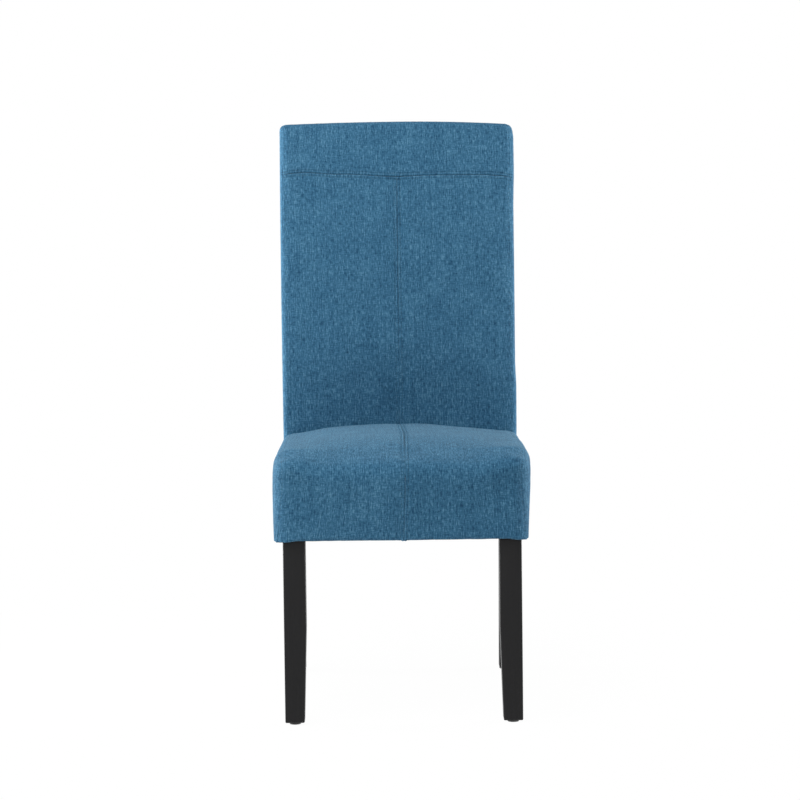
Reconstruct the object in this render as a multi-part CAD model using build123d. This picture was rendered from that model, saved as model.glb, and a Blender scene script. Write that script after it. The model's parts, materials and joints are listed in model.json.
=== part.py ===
from build123d import *
import os
from math import asin, cos, degrees, sin, sqrt

# Upholstered dining chair: tall curved back with a T-shaped seam, boxed seat and square legs.
# Millimetres. The front faces -Y, +X is the right side as seen from the front, +Z is up.
# The origin is on the floor, under the middle of the overall box.

# Overall sizes
chair_height = 1036.0
chair_depth = 600.0
chair_width = 436.0
leg_height = 316.0
seat_crown_height = 480.0

# Seat cushion form
seat_crown_radius = 1440.0
seat_edge_radius = 32.0
seat_roll_radius = 70.0
seat_front_radius = 5000.0
seat_corner_radius = 20.0
seat_front_draw_in = 8.0
seat_side_draw_in = 5.5
seat_seam_inset = 12.0

# Back cushion form
back_side_setback = 1.5
back_thickness = 62.0
back_front_bulge = 10.0
back_curve_radius = 1750.0
back_bend_height = 440.0
back_front_edge_radius = 14.0
back_rear_edge_radius = 12.0
back_top_edge_radius = 10.0
back_top_crown_radius = 6500.0
back_seam_inset = 7.0
back_tuck_rise = 14.0
yoke_depth = 107.5
top_seam_depth = 5.0

# Layers of the upholstery
cover_thickness = 2.0
wadding_thickness = 4.0
board_thickness = 2.5
layer_gap = 0.3
seam_gap = 0.6
least_round = 0.5
hem_width = 11.0
dust_cloth_thickness = 0.6
dust_cloth_overlap = 6.0
top_foam_thickness = 9.0

# Seat frame
rail_height = 70.0
rail_thickness = 18.0
rear_rail_thickness = 22.0
block_depth = 22.0
block_margin = 10.0
rear_block_length = 62.0

# Rear posts, which are also the rear legs, and the rails between them
post_width = 28.0
post_depth = 38.0
post_setback = 2.0
rear_foot_depth = 31.0
rear_foot_setback = 27.0
back_rail_thickness = 22.0
back_top_rail_height = 58.0
back_middle_rail_height = 50.0
back_lower_rail_height = 36.0
back_middle_rail_level = 700.0

# Front legs
leg_size = 38.0
leg_foot_size = 33.0
leg_taper_start = 165.0
leg_inset = 10.0
leg_edge_round = 1.5
tenon_chamfer = 10.0

# Webbing
strap_width = 50.0
strap_thickness = 1.5
long_strap_count = 4
cross_strap_count = 3
back_strap_count = 4
strap_end_margin = 4.0

# Fasteners and feet
dowel_diameter = 8.0
dowel_depth = 15.0
dowel_spacing = 32.0
rear_dowel_spacing = 52.0
dowel_front_cover = 8.0
back_dowel_spacing = 18.0
fit_gap = 0.1
bolt_diameter = 8.0
bolt_head_across = 13.0
bolt_head_height = 5.3
bolt_spacing = 26.0
bolt_clearance = 0.5
washer_diameter = 16.0
washer_thickness = 1.6
insert_diameter = 11.0
insert_length = 16.0
insert_bore_gap = 0.05
screw_diameter = 4.0
screw_head_diameter = 8.0
screw_head_height = 3.0
screw_bite = 13.0
screw_run = 22.0
screw_sink = 5.0
glide_diameter = 20.0
glide_height = 4.0
glide_edge_round = 1.3
glide_nail_diameter = 2.6
glide_nail_length = 16.0
staple_crown = 11.0
staple_wire = 0.8
staple_leg = 8.0
staple_margin = 4.0
staple_pitch = 62.0

# Places worked out from the sizes above
half_width = chair_width / 2
back_half_width = half_width - back_side_setback
front_y = -chair_depth / 2
rear_y = chair_depth / 2
seat_bottom = leg_height
roll_axis_y = front_y + seat_roll_radius
roll_axis_z = seat_crown_height - seat_roll_radius
roll_axis = Axis((0, roll_axis_y, roll_axis_z), (1, 0, 0))
inner_inset = cover_thickness + wadding_thickness + 2 * layer_gap
rear_inset = cover_thickness + board_thickness + 2 * layer_gap
rail_bottom = seat_bottom + cover_thickness
rail_top = rail_bottom + rail_height
rail_outer_x = half_width - seat_side_draw_in - inner_inset
rail_inner_x = rail_outer_x - rail_thickness
block_height = rail_height - 2 * block_margin
back_tuck_height = rail_top + back_tuck_rise
strap_grip = rail_thickness - strap_end_margin

# The back's front, rear and mid surfaces are arcs about one line behind the chair
front_centre_radius = back_curve_radius + back_thickness + back_front_bulge
front_arch_radius = (back_half_width**2 + back_front_bulge**2) / (2 * back_front_bulge)
top_round_radius = front_centre_radius - back_top_edge_radius
top_round_angle = asin((chair_height - back_top_edge_radius - back_bend_height) / top_round_radius)
top_angle = top_round_angle + asin(back_top_edge_radius / top_round_radius)
rear_round_radius = back_curve_radius + back_top_edge_radius
rear_round_angle = top_angle - asin(back_top_edge_radius / rear_round_radius)
curve_y = rear_y - back_top_edge_radius + rear_round_radius * cos(rear_round_angle)
back_rear_y = curve_y - back_curve_radius
back_front_y = back_rear_y - back_thickness
back_axis = Axis((0, curve_y, back_bend_height), (-1, 0, 0))

# Post and frame places
post_outer_x = back_half_width - inner_inset - post_setback
post_inner_x = post_outer_x - post_width
post_rear_radius = back_curve_radius + rear_inset
post_front_radius = post_rear_radius + post_depth
post_rear_y = curve_y - post_rear_radius
post_front_y = curve_y - post_front_radius
crown_end_drop = back_top_crown_radius - sqrt(back_top_crown_radius**2 - back_half_width**2)
post_top_drop = crown_end_drop + inner_inset + top_foam_thickness
post_top_angle = top_angle - post_top_drop / post_front_radius
front_corner_drop = seat_front_radius - sqrt(seat_front_radius**2 - rail_outer_x**2)
front_corner_y = front_y + seat_front_draw_in + front_corner_drop
front_rail_front_y = front_corner_y + inner_inset
front_rail_rear_y = front_rail_front_y + rail_thickness
leg_outer_x = half_width - seat_side_draw_in - leg_inset
leg_front_y = front_corner_y + leg_inset
rear_foot_reach = rear_y - rear_foot_setback
strap_top = rail_top + 2 * strap_thickness
foam_bottom = strap_top + layer_gap
large = 2 * chair_height


def box_between(low, high):
    """A box from its lowest corner to its highest one."""
    size = [b - a for a, b in zip(low, high)]
    middle = [(a + b) / 2 for a, b in zip(low, high)]
    return Pos(*middle) * Box(*size)


def rod(start, direction, length, radius):
    """A round bar from a start point along a direction."""
    return Solid.make_cylinder(radius, length, Plane(origin=start, z_dir=direction))


def curve_point(radius, angle):
    """The (y, z) of a point on one of the back's arcs, at an angle above the bend."""
    return (curve_y - radius * cos(angle), back_bend_height + radius * sin(angle))


def mirrored(shape):
    """The same shape on the other side of the chair."""
    return mirror(shape, about=Plane.YZ)


def both_sides(shape):
    """A shape and its mirror image, as a list of solids."""
    return [*shape.solids(), *mirrored(shape).solids()]


# Soft forms


def arched_face(half, rise, arch_radius, corner_radius):
    """A face on a straight base, with upright sides, an arched top and rounded top corners."""
    shoulder = rise - arch_radius + sqrt(arch_radius**2 - half**2)
    base_left, base_right = (-half, 0), (half, 0)
    top_left, top_right = (-half, shoulder), (half, shoulder)
    outline = [
        Line(base_left, base_right),
        Line(base_right, top_right),
        ThreePointArc(top_right, (0, rise), top_left),
        Line(top_left, base_left),
    ]
    face = make_face(outline)
    return fillet(face.vertices().sort_by(Axis.Y)[-2:], corner_radius)


def drawn_in(radius, inset):
    """A rounding's radius on a surface that lies an inset further in."""
    return max(radius - inset, least_round)


def seat_form(inset, lift, rear_end=back_front_y):
    """The seat cushion, drawn in by an inset at its top, front and sides and lifted underneath."""
    half = half_width - inset
    foot_half = half - seat_side_draw_in
    low = seat_bottom + lift
    length = rear_end - roll_axis_y
    top = arched_face(
        half, seat_roll_radius - inset, seat_crown_radius - inset, drawn_in(seat_edge_radius, inset)
    )
    foot = arched_face(
        foot_half,
        seat_roll_radius - seat_front_draw_in - inset,
        seat_front_radius - inset,
        drawn_in(seat_corner_radius, inset),
    )
    upright = Plane((0, roll_axis_y, roll_axis_z), x_dir=(1, 0, 0), z_dir=(0, -1, 0))
    level = Plane((0, roll_axis_y, roll_axis_z), x_dir=(1, 0, 0), z_dir=(0, 0, -1))
    low_level = level.offset(roll_axis_z - low)
    lower_section = make_face(
        Polyline(
            (-foot_half, low - roll_axis_z),
            (foot_half, low - roll_axis_z),
            (half, 0),
            (-half, 0),
            close=True,
        )
    )
    upper_rear = extrude(upright * top, amount=-length)
    lower_rear = extrude(upright * lower_section, amount=-length)
    roll = revolve(upright * top, roll_axis, 90)
    front = loft([level * top, low_level * foot], ruled=True)
    return upper_rear + lower_rear + roll + front


def back_section(inset, rear):
    """The back cushion's level section, with its arched front, on its rear face's line."""
    face = arched_face(
        back_half_width - inset,
        back_thickness + back_front_bulge - inset - rear,
        front_arch_radius - inset,
        drawn_in(back_front_edge_radius, inset),
    )
    face = fillet(face.vertices().sort_by(Axis.Y)[:2], drawn_in(back_rear_edge_radius, inset))
    plane = Plane((0, back_rear_y - rear, back_bend_height), x_dir=(1, 0, 0), z_dir=(0, 0, -1))
    return plane * face


def curved_slab(section, low, high_angle):
    """A level section carried straight down to a level and along the back's curve to an angle."""
    straight = extrude(section, amount=back_bend_height - low)
    curved = revolve(section, back_axis, degrees(high_angle))
    return straight + curved


def top_plane():
    """The plane across the back's top edge: X sideways, Y up the curve, Z out of the front."""
    y, z = curve_point(back_curve_radius, top_angle)
    return Plane((0, y, z), x_dir=(1, 0, 0), z_dir=(0, -cos(top_angle), sin(top_angle)))


def above_crown(drop):
    """Everything above the back's crowned top edge, moved down by a drop."""
    half = chair_width
    shoulder = sqrt((back_top_crown_radius - drop) ** 2 - half**2) - back_top_crown_radius
    outline = [
        ThreePointArc((-half, shoulder), (0, -drop), (half, shoulder)),
        Line((half, shoulder), (half, chair_width)),
        Line((half, chair_width), (-half, chair_width)),
        Line((-half, chair_width), (-half, shoulder)),
    ]
    return extrude(top_plane() * make_face(outline), amount=chair_width, both=True)


def back_form(inset, rear, lift):
    """The back cushion, drawn in by an inset at its front, sides and top and by rear behind."""
    overrun = back_top_edge_radius / back_curve_radius
    body = curved_slab(back_section(inset, rear), seat_bottom + lift, top_angle + overrun)
    body = body - above_crown(inset)
    top_face = body.faces().sort_by(Axis.Z)[-1]
    return fillet(top_face.edges(), drawn_in(back_top_edge_radius, inset))


def frame_envelope():
    """The space behind the front of the posts and their straps, up to the posts' tops."""
    front = post_front_y - strap_thickness - 2 * layer_gap
    section = make_face(
        Polyline(
            (-chair_width, front),
            (chair_width, front),
            (chair_width, rear_y),
            (-chair_width, rear_y),
            close=True,
        )
    )
    plane = Plane((0, 0, back_bend_height), x_dir=(1, 0, 0), z_dir=(0, 0, 1))
    placed = plane * section
    straight = extrude(placed, amount=-back_bend_height)
    curved = revolve(placed, back_axis, degrees(post_top_angle + layer_gap / post_front_radius))
    return straight + curved


# Side-to-side cutters


def between_x(low, high):
    """A tall slice of space between two X values."""
    return box_between((low, -large, -large), (high, large, large))


def above_z(level):
    """Everything above a level."""
    return box_between((-large, -large, level), (large, large, 2 * large))


def yoke_space(gap):
    """Everything above the back's cross seam, less a gap."""
    angle = top_angle - (yoke_depth - gap) / front_centre_radius
    y, z = curve_point(front_centre_radius, angle)
    plane = Plane((0, y, z), x_dir=(1, 0, 0), z_dir=(0, sin(angle), cos(angle)))
    return extrude(plane * Rectangle(large, large), amount=large)


# Frame


def post_profile():
    """The rear post's side view: a splayed leg, an upright length at the seat and a curved top."""
    top_rear = curve_point(post_rear_radius, post_top_angle)
    top_front = curve_point(post_front_radius, post_top_angle)
    middle_rear = curve_point(post_rear_radius, post_top_angle / 2)
    middle_front = curve_point(post_front_radius, post_top_angle / 2)
    bend_rear = (post_rear_y, back_bend_height)
    bend_front = (post_front_y, back_bend_height)
    knee_rear = (post_rear_y, seat_bottom)
    knee_front = (post_front_y, seat_bottom)
    foot_rear = (rear_foot_reach, glide_height)
    foot_front = (rear_foot_reach - rear_foot_depth, glide_height)
    outline = [
        Line(foot_front, foot_rear),
        Line(foot_rear, knee_rear),
        Line(knee_rear, bend_rear),
        ThreePointArc(bend_rear, middle_rear, top_rear),
        Line(top_rear, top_front),
        ThreePointArc(top_front, middle_front, bend_front),
        Line(bend_front, knee_front),
        Line(knee_front, foot_front),
    ]
    return make_face(outline)


def rear_post():
    """The right rear post, before its holes."""
    plane = Plane((post_inner_x, 0, 0), x_dir=(0, 1, 0), z_dir=(1, 0, 0))
    return extrude(plane * post_profile(), amount=post_width)


def front_leg():
    """The right front leg: a square leg tapered inside, with a tenon inside the rails."""
    side = leg_size
    foot = leg_foot_size
    outer = (leg_outer_x, leg_front_y)
    top_middle = (outer[0] - side / 2, outer[1] + side / 2)
    foot_middle = (outer[0] - foot / 2, outer[1] + foot / 2)
    straight = Pos(*top_middle, leg_taper_start) * extrude(
        Rectangle(side, side), amount=rail_bottom - leg_taper_start
    )
    tapered = loft(
        [
            Pos(*foot_middle, glide_height) * Rectangle(foot, foot),
            Pos(*top_middle, leg_taper_start) * Rectangle(side, side),
        ],
        ruled=True,
    )
    lower = straight + tapered
    lower = fillet(lower.edges().filter_by(Axis.Z, reverse=True).sort_by(Axis.Z)[:4], leg_edge_round)
    tenon = box_between(
        (leg_outer_x - side, front_rail_rear_y, rail_bottom),
        (rail_inner_x, leg_front_y + side, rail_top - strap_thickness),
    )
    inner_edge = tenon.edges().filter_by(Axis.Z).sort_by(Axis.X)[:2].sort_by(Axis.Y)[-1]
    return lower + chamfer(inner_edge, tenon_chamfer)


def seat_rail_boxes():
    """The front, right and rear seat rails as plain boxes."""
    front = box_between(
        (-rail_outer_x, front_rail_front_y, rail_bottom),
        (rail_outer_x, front_rail_rear_y, rail_top),
    )
    side = box_between(
        (rail_inner_x, front_rail_rear_y, rail_bottom), (rail_outer_x, post_front_y, rail_top)
    )
    rear = box_between(
        (-post_inner_x, post_front_y, rail_bottom),
        (post_inner_x, post_front_y + rear_rail_thickness, rail_top),
    )
    return front, side, rear


def corner_block(corner_y, towards, near, far):
    """A right-hand corner block between two diagonals, from a rail's face in the towards direction."""
    outline = [(0, near), (0, far), (far, 0), (near, 0)] if near else [(0, 0), (0, far), (far, 0)]
    points = [(rail_inner_x - a, corner_y + towards * b) for a, b in outline]
    low = (rail_bottom + rail_top - block_height) / 2
    return Pos(0, 0, low) * extrude(make_face(Polyline(*points, close=True)), amount=block_height)


def block_screws(corner_y, towards, far):
    """A right-hand block's two screws: where each enters its slanted face, and its direction."""
    level = (rail_bottom + rail_top) / 2
    offset = far - screw_run
    into_side = ((rail_inner_x - screw_run, corner_y + towards * offset, level), (1, 0, 0))
    into_end = ((rail_inner_x - offset, corner_y + towards * screw_run, level), (0, -towards, 0))
    return [into_side, into_end]


def screw_shape(start, way, grow=0.0):
    """A screw sunk in a block's slanted face, or with grow the hole for it."""
    sink = Vector(start) + Vector(way) * screw_sink
    shank_length = screw_run - screw_sink + screw_bite
    shank = rod(sink, way, shank_length + grow, screw_diameter / 2 + grow)
    head_start = sink - Vector(way) * (screw_head_height if not grow else block_depth)
    head_length = screw_head_height if not grow else block_depth + grow
    head = rod(head_start, way, head_length, screw_head_diameter / 2 + grow)
    return shank + head


def leg_bolt_lines(near):
    """Where the right front leg's bolts enter its corner block's leg side, and their direction."""
    reach = near / 2
    middle = (rail_bottom + rail_top) / 2
    way = Vector(1, -1, 0).normalized()
    x, y = rail_inner_x - reach, front_rail_rear_y + reach
    return [(Vector(x, y, middle + side * bolt_spacing / 2), way) for side in (-1, 1)]


def hex_head(centre, way):
    """A bolt's hexagon head, which stands on its washer away from the way it is driven."""
    plane = Plane(origin=centre, z_dir=way)
    across = RegularPolygon(bolt_head_across / 2, 6, major_radius=False)
    return extrude(plane * across, amount=-bolt_head_height)


def dowel_lines():
    """Every dowel on the right side: (start, direction, depth behind, depth ahead)."""
    level = (rail_bottom + rail_top) / 2
    rail_x = (rail_inner_x + rail_outer_x) / 2
    rear_rail_y = post_front_y + rear_rail_thickness / 2
    seat, back = [], []
    for side in (-1, 1):
        z = level + side * dowel_spacing / 2
        front_depth = rail_thickness - dowel_front_cover
        seat.append(((rail_x, front_rail_rear_y, z), (0, 1, 0), front_depth, dowel_depth))
        seat.append(((rail_x, post_front_y, z), (0, 1, 0), dowel_depth, dowel_depth))
        rear_z = level + side * rear_dowel_spacing / 2
        seat.append(((post_inner_x, rear_rail_y, rear_z), (1, 0, 0), dowel_depth, dowel_depth))
        for angle in back_rail_angles().values():
            along = angle + side * back_dowel_spacing / 2 / back_rail_radius()
            y, z = curve_point(back_rail_radius(), along)
            back.append(((post_inner_x, y, z), (1, 0, 0), dowel_depth, dowel_depth))
    return seat, back


def dowel(line, grow=0.0):
    """A dowel on its line, or with grow the hole for it."""
    start, way, behind, ahead = line
    start = Vector(start) - Vector(way) * (behind + grow)
    return rod(start, way, behind + ahead + 2 * grow, dowel_diameter / 2 + grow)


def back_rail_radius():
    """The arc radius through the middle of the back rails."""
    return (post_front_radius + post_rear_radius) / 2


def back_rail_angles():
    """The angle of each back rail's middle along the curve."""
    radius = back_rail_radius()
    lower_level = back_tuck_height + back_lower_rail_height / 2
    return {
        "back_top_rail": post_top_angle - back_top_rail_height / 2 / radius,
        "back_middle_rail": asin((back_middle_rail_level - back_bend_height) / radius),
        "back_lower_rail": asin((lower_level - back_bend_height) / radius),
    }


def back_rail(angle, height):
    """A straight rail between the posts, turned to the curve's slope."""
    y, z = curve_point(back_rail_radius(), angle)
    return Pos(0, y, z) * Rot(X=-degrees(angle)) * Box(2 * post_inner_x, back_rail_thickness, height)


def glide_places():
    """The middle of each right foot: front leg, then rear post."""
    front = (leg_outer_x - leg_foot_size / 2, leg_front_y + leg_foot_size / 2)
    rear = (post_inner_x + post_width / 2, rear_foot_reach - rear_foot_depth / 2)
    return {"front": front, "rear": rear}


def glide(place):
    """A nail-on plastic glide, with its dished edge."""
    disc = Pos(*place, glide_height / 2) * Cylinder(glide_diameter / 2, glide_height)
    disc = fillet(disc.edges().sort_by(Axis.Z)[:1], glide_edge_round)
    return disc + rod((*place, glide_height), (0, 0, 1), glide_nail_length, glide_nail_diameter / 2)


def glide_hole(place):
    """The hole that a glide's nail is driven into."""
    length = glide_nail_length + fit_gap
    return rod((*place, glide_height), (0, 0, 1), length, glide_nail_diameter / 2 + fit_gap)


def staple(x, y, along_x, grow=0.0):
    """A staple driven up through the dust cloth along X or Y, or with grow its two leg holes."""
    low = seat_bottom - dust_cloth_thickness - staple_wire
    wire = staple_wire + 2 * grow
    reach = (staple_crown - staple_wire) / 2
    legs = [
        box_between(
            (side * reach - wire / 2, -wire / 2, 0), (side * reach + wire / 2, wire / 2, staple_leg + grow)
        )
        for side in (-1, 1)
    ]
    crown = box_between((-reach, -wire / 2, 0), (reach, wire / 2, staple_wire))
    shape = legs[0] + legs[1] if grow else crown + legs
    return Pos(x, y, low) * Rot(Z=0 if along_x else 90) * shape


def spread(low, high, count):
    """Evenly spaced places in a stretch, with half a space at each end."""
    step = (high - low) / count
    return [low + step * (i + 0.5) for i in range(count)]


nodes = {}

# Rails, blocks and posts with their holes
rail_space = seat_form(inner_inset, cover_thickness, post_front_y)
front_rail, side_rail, rear_rail = seat_rail_boxes()
front_rail = front_rail & rail_space
side_rail = side_rail & rail_space
leg = front_leg()
post = rear_post()
near_line = 2 * (leg_front_y + leg_size - front_rail_rear_y) - tenon_chamfer
far_line = near_line + block_depth * sqrt(2)
front_block = corner_block(front_rail_rear_y, 1, near_line, far_line)
rear_block = corner_block(post_front_y, -1, 0, rear_block_length)

seat_dowels, back_dowels = dowel_lines()
for line in seat_dowels:
    hole = dowel(line, fit_gap)
    front_rail = front_rail - hole - mirrored(hole)
    side_rail = side_rail - hole
    rear_rail = rear_rail - hole - mirrored(hole)
    post = post - hole
heights = {
    "back_top_rail": back_top_rail_height,
    "back_middle_rail": back_middle_rail_height,
    "back_lower_rail": back_lower_rail_height,
}
for name, angle in back_rail_angles().items():
    rail = back_rail(angle, heights[name])
    for line in back_dowels:
        hole = dowel(line, fit_gap)
        rail = rail - hole - mirrored(hole)
    nodes[name] = rail
for line in back_dowels:
    post = post - dowel(line, fit_gap)

# Corner block screws
screws = []
for corner_y, towards, far in ((front_rail_rear_y, 1, far_line), (post_front_y, -1, rear_block_length)):
    for start, way in block_screws(corner_y, towards, far):
        hole = screw_shape(start, way, fit_gap)
        front_block = front_block - hole
        rear_block = rear_block - hole
        side_rail = side_rail - hole
        front_rail = front_rail - hole - mirrored(hole)
        rear_rail = rear_rail - hole - mirrored(hole)
        screws.append(screw_shape(start, way))

# Front leg bolts, washers and threaded inserts
bolts, washers, inserts = [], [], []
for start, way in leg_bolt_lines(near_line):
    seat_face = start - way * block_depth
    head_face = seat_face - way * washer_thickness
    bolt_length = washer_thickness + block_depth + insert_length
    bolts.append(rod(head_face, way, bolt_length, bolt_diameter / 2) + hex_head(head_face, way))
    bore = bolt_diameter / 2 + insert_bore_gap
    sleeve = rod(start, way, insert_length, insert_diameter / 2)
    inserts.append(sleeve - rod(start, way, insert_length, bore))
    ring = rod(head_face, way, washer_thickness, washer_diameter / 2)
    washers.append(ring - rod(head_face, way, washer_thickness, bolt_diameter / 2 + bolt_clearance))
    leg = leg - rod(start, way, insert_length + fit_gap, insert_diameter / 2 + fit_gap)
    front_block = front_block - rod(seat_face, way, block_depth, bolt_diameter / 2 + bolt_clearance)

# Glides
for place_name, place in glide_places().items():
    nail_hole = glide_hole(place)
    leg = leg - nail_hole
    post = post - nail_hole
    nodes[f"{place_name}_glide_right"] = glide(place)
    nodes[f"{place_name}_glide_left"] = mirrored(glide(place))

# Staples of the dust cloth, and their holes in the rails
seat_hem_x = half_width - seat_side_draw_in - hem_width
seat_hem_y = front_corner_y + hem_width
staple_side_x = seat_hem_x - staple_margin
staple_front_y = seat_hem_y + staple_margin
staple_rear_y = post_front_y + rear_rail_thickness / 2
staple_side_start = leg_front_y + leg_size + staple_crown
staple_side_end = post_front_y - staple_crown
staple_front_end = leg_outer_x - leg_size - staple_crown
staple_rear_end = post_inner_x - staple_crown
side_count = round((staple_side_end - staple_side_start) / staple_pitch)
front_count = round(2 * staple_front_end / staple_pitch)
rear_count = round(2 * staple_rear_end / staple_pitch)
staple_places = [
    (side * staple_side_x, y, False)
    for side in (-1, 1)
    for y in spread(staple_side_start, staple_side_end, side_count)
]
staple_places += [
    (x, staple_front_y, True) for x in spread(-staple_front_end, staple_front_end, front_count)
]
staple_places += [
    (x, staple_rear_y, True) for x in spread(-staple_rear_end, staple_rear_end, rear_count)
]
staple_holes = [staple(*place, fit_gap) for place in staple_places]
front_rail = front_rail - staple_holes
side_rail = side_rail - staple_holes
rear_rail = rear_rail - staple_holes

nodes["front_leg_right"] = leg
nodes["front_leg_left"] = mirrored(leg)
nodes["rear_post_right"] = post
nodes["rear_post_left"] = mirrored(post)
nodes["front_seat_rail"] = front_rail
nodes["side_seat_rail_right"] = side_rail
nodes["side_seat_rail_left"] = mirrored(side_rail)
nodes["rear_seat_rail"] = rear_rail
nodes["front_corner_block_right"] = front_block
nodes["front_corner_block_left"] = mirrored(front_block)
nodes["rear_corner_block_right"] = rear_block
nodes["rear_corner_block_left"] = mirrored(rear_block)


def group(shapes):
    """Right-hand shapes and their mirror images as one node of separate solids."""
    return Compound([solid for shape in shapes for solid in both_sides(shape)])


nodes["corner_block_screws"] = group(screws)
nodes["leg_bolts"] = group(bolts)
nodes["leg_bolt_washers"] = group(washers)
nodes["leg_inserts"] = group(inserts)
nodes["seat_frame_dowels"] = group([dowel(line) for line in seat_dowels])
nodes["back_frame_dowels"] = group([dowel(line) for line in back_dowels])

# Webbing: long straps on the rails, cross straps over them, back straps on the posts
long_straps = [
    Pos(x, 0, 0)
    * box_between(
        (-strap_width / 2, front_rail_rear_y - strap_grip, rail_top),
        (strap_width / 2, post_front_y + strap_grip, rail_top + strap_thickness),
    )
    for x in spread(-rail_inner_x, rail_inner_x, long_strap_count)
]
cross_straps = [
    box_between(
        (-rail_inner_x - strap_grip, y - strap_width / 2, rail_top + strap_thickness),
        (rail_inner_x + strap_grip, y + strap_width / 2, strap_top),
    )
    for y in spread(front_rail_rear_y, post_front_y, cross_strap_count)
]
nodes["seat_webbing_long"] = Compound(long_straps)
nodes["seat_webbing_cross"] = Compound(cross_straps)
strap_radius = post_front_radius + layer_gap + strap_thickness / 2
lowest_strap = asin((back_tuck_height + strap_width / 2 - back_bend_height) / strap_radius)
back_straps = []
for angle in spread(lowest_strap, post_top_angle, back_strap_count):
    y, z = curve_point(strap_radius, angle)
    strap = Box(2 * (post_outer_x - strap_end_margin), strap_thickness, strap_width)
    back_straps.append(Pos(0, y, z) * Rot(X=-degrees(angle)) * strap)
nodes["back_webbing"] = Compound(back_straps)

# Back upholstery, from the cover inwards
back_outer = back_form(0, 0, 0)
back_clearance = back_form(-layer_gap, -layer_gap, -layer_gap)
back_inside = back_form(cover_thickness, cover_thickness, cover_thickness)
side_seam_x = back_half_width - back_seam_inset
front_tuck = box_between(
    (-side_seam_x, -large, 0),
    (side_seam_x, post_front_y, back_tuck_height),
)
hem_opening = box_between(
    (-side_seam_x, -large, 0),
    (side_seam_x, back_rear_y - hem_width, seat_bottom + 2 * cover_thickness),
)
post_passage = box_between(
    (post_inner_x - layer_gap, post_front_y - layer_gap, 0),
    (post_outer_x + layer_gap, post_rear_y + layer_gap, seat_bottom + 2 * cover_thickness),
)
back_shell = back_outer - back_inside - front_tuck - hem_opening
back_shell = back_shell - post_passage - mirrored(post_passage)
middle_slice = between_x(seam_gap / 2 - side_seam_x, side_seam_x - seam_gap / 2)
side_slice = between_x(side_seam_x + seam_gap / 2, large)
nodes["back_side_panel_right"] = back_shell & side_slice
nodes["back_side_panel_left"] = mirrored(nodes["back_side_panel_right"])
middle_shell = back_shell & middle_slice
nodes["back_top_panel"] = middle_shell & above_crown(top_seam_depth - seam_gap / 2)
faces_below_top = (middle_shell - above_crown(top_seam_depth + seam_gap / 2)).solids().sort_by(Axis.Y)
nodes["outside_back_panel"] = faces_below_top[-1]
front_panel = faces_below_top[0]
nodes["back_yoke_panel"] = front_panel & yoke_space(seam_gap / 2)
below_yoke = front_panel - yoke_space(-seam_gap / 2)
nodes["back_front_panel_right"] = below_yoke & between_x(seam_gap / 2, large)
nodes["back_front_panel_left"] = below_yoke & between_x(-large, -seam_gap / 2)

wadding_outer_inset = cover_thickness + layer_gap
wadding_inner_inset = wadding_outer_inset + wadding_thickness
wadding_floor = cover_thickness + layer_gap
back_wadding_outer = back_form(wadding_outer_inset, wadding_outer_inset, wadding_floor)
back_wadding_inner = back_form(wadding_inner_inset, -wadding_thickness, -wadding_thickness)
nodes["back_wadding"] = back_wadding_outer - back_wadding_inner - front_tuck
back_core = back_form(inner_inset, inner_inset, 0)
nodes["back_foam"] = (back_core - frame_envelope()) & above_z(back_tuck_height)
board_half = back_half_width - inner_inset - back_rear_edge_radius
board_plane = Plane(
    (0, back_rear_y - cover_thickness - layer_gap, back_bend_height), x_dir=(1, 0, 0), z_dir=(0, 0, -1)
)
board_section = Rectangle(2 * board_half, board_thickness, align=(Align.CENTER, Align.MIN))
board_low = seat_bottom + cover_thickness + layer_gap
nodes["back_board"] = curved_slab(board_plane * board_section, board_low, post_top_angle)

# Seat upholstery, from the cover inwards
seat_outer = seat_form(0, 0)
seat_inside = seat_form(cover_thickness, cover_thickness)
seat_inner = seat_form(inner_inset, cover_thickness)
seat_opening = box_between(
    (-seat_hem_x, seat_hem_y, 0), (seat_hem_x, large, seat_bottom + 2 * cover_thickness)
)
leg_passage = box_between(
    (leg_outer_x - leg_size - layer_gap, leg_front_y - layer_gap, 0),
    (leg_outer_x + layer_gap, leg_front_y + leg_size + layer_gap, seat_bottom + 2 * cover_thickness),
)
seat_shell = seat_outer - seat_inside - seat_opening - leg_passage - mirrored(leg_passage)
seat_shell = seat_shell - back_clearance
seat_seam_x = half_width - seat_seam_inset
nodes["seat_side_panel_right"] = seat_shell & between_x(seat_seam_x + seam_gap / 2, large)
nodes["seat_side_panel_left"] = mirrored(nodes["seat_side_panel_right"])
nodes["seat_top_panel_right"] = seat_shell & between_x(seam_gap / 2, seat_seam_x - seam_gap / 2)
nodes["seat_top_panel_left"] = mirrored(nodes["seat_top_panel_right"])
seat_wadding_outer = seat_form(wadding_outer_inset, wadding_floor)
seat_wadding_inner = seat_form(wadding_inner_inset, -wadding_thickness)
nodes["seat_wadding"] = seat_wadding_outer - seat_wadding_inner - back_clearance
nodes["seat_foam"] = (seat_inner & above_z(foam_bottom)) - back_clearance

# Dust cloth under the seat and the back, cut round the legs, and its staples
cloth_half = seat_hem_x + dust_cloth_overlap
cloth_front = seat_hem_y - dust_cloth_overlap
cloth_rear = back_rear_y - hem_width + dust_cloth_overlap
dust_cloth = box_between(
    (-cloth_half, cloth_front, seat_bottom - dust_cloth_thickness), (cloth_half, cloth_rear, seat_bottom)
)
for passage in (leg_passage, post_passage):
    dust_cloth = dust_cloth - passage - mirrored(passage)
nodes["dust_cloth"] = dust_cloth - staple_holes
staples = [staple(*place) for place in staple_places]
nodes["dust_cloth_staples"] = Compound([solid for shape in staples for solid in shape.solids()])

os.makedirs("parts", exist_ok=True)
for name, shape in nodes.items():
    shape.label = name
    export_step(shape, f"parts/{name}.step")
    print(name, len(shape.solids()), round(shape.volume))
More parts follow.
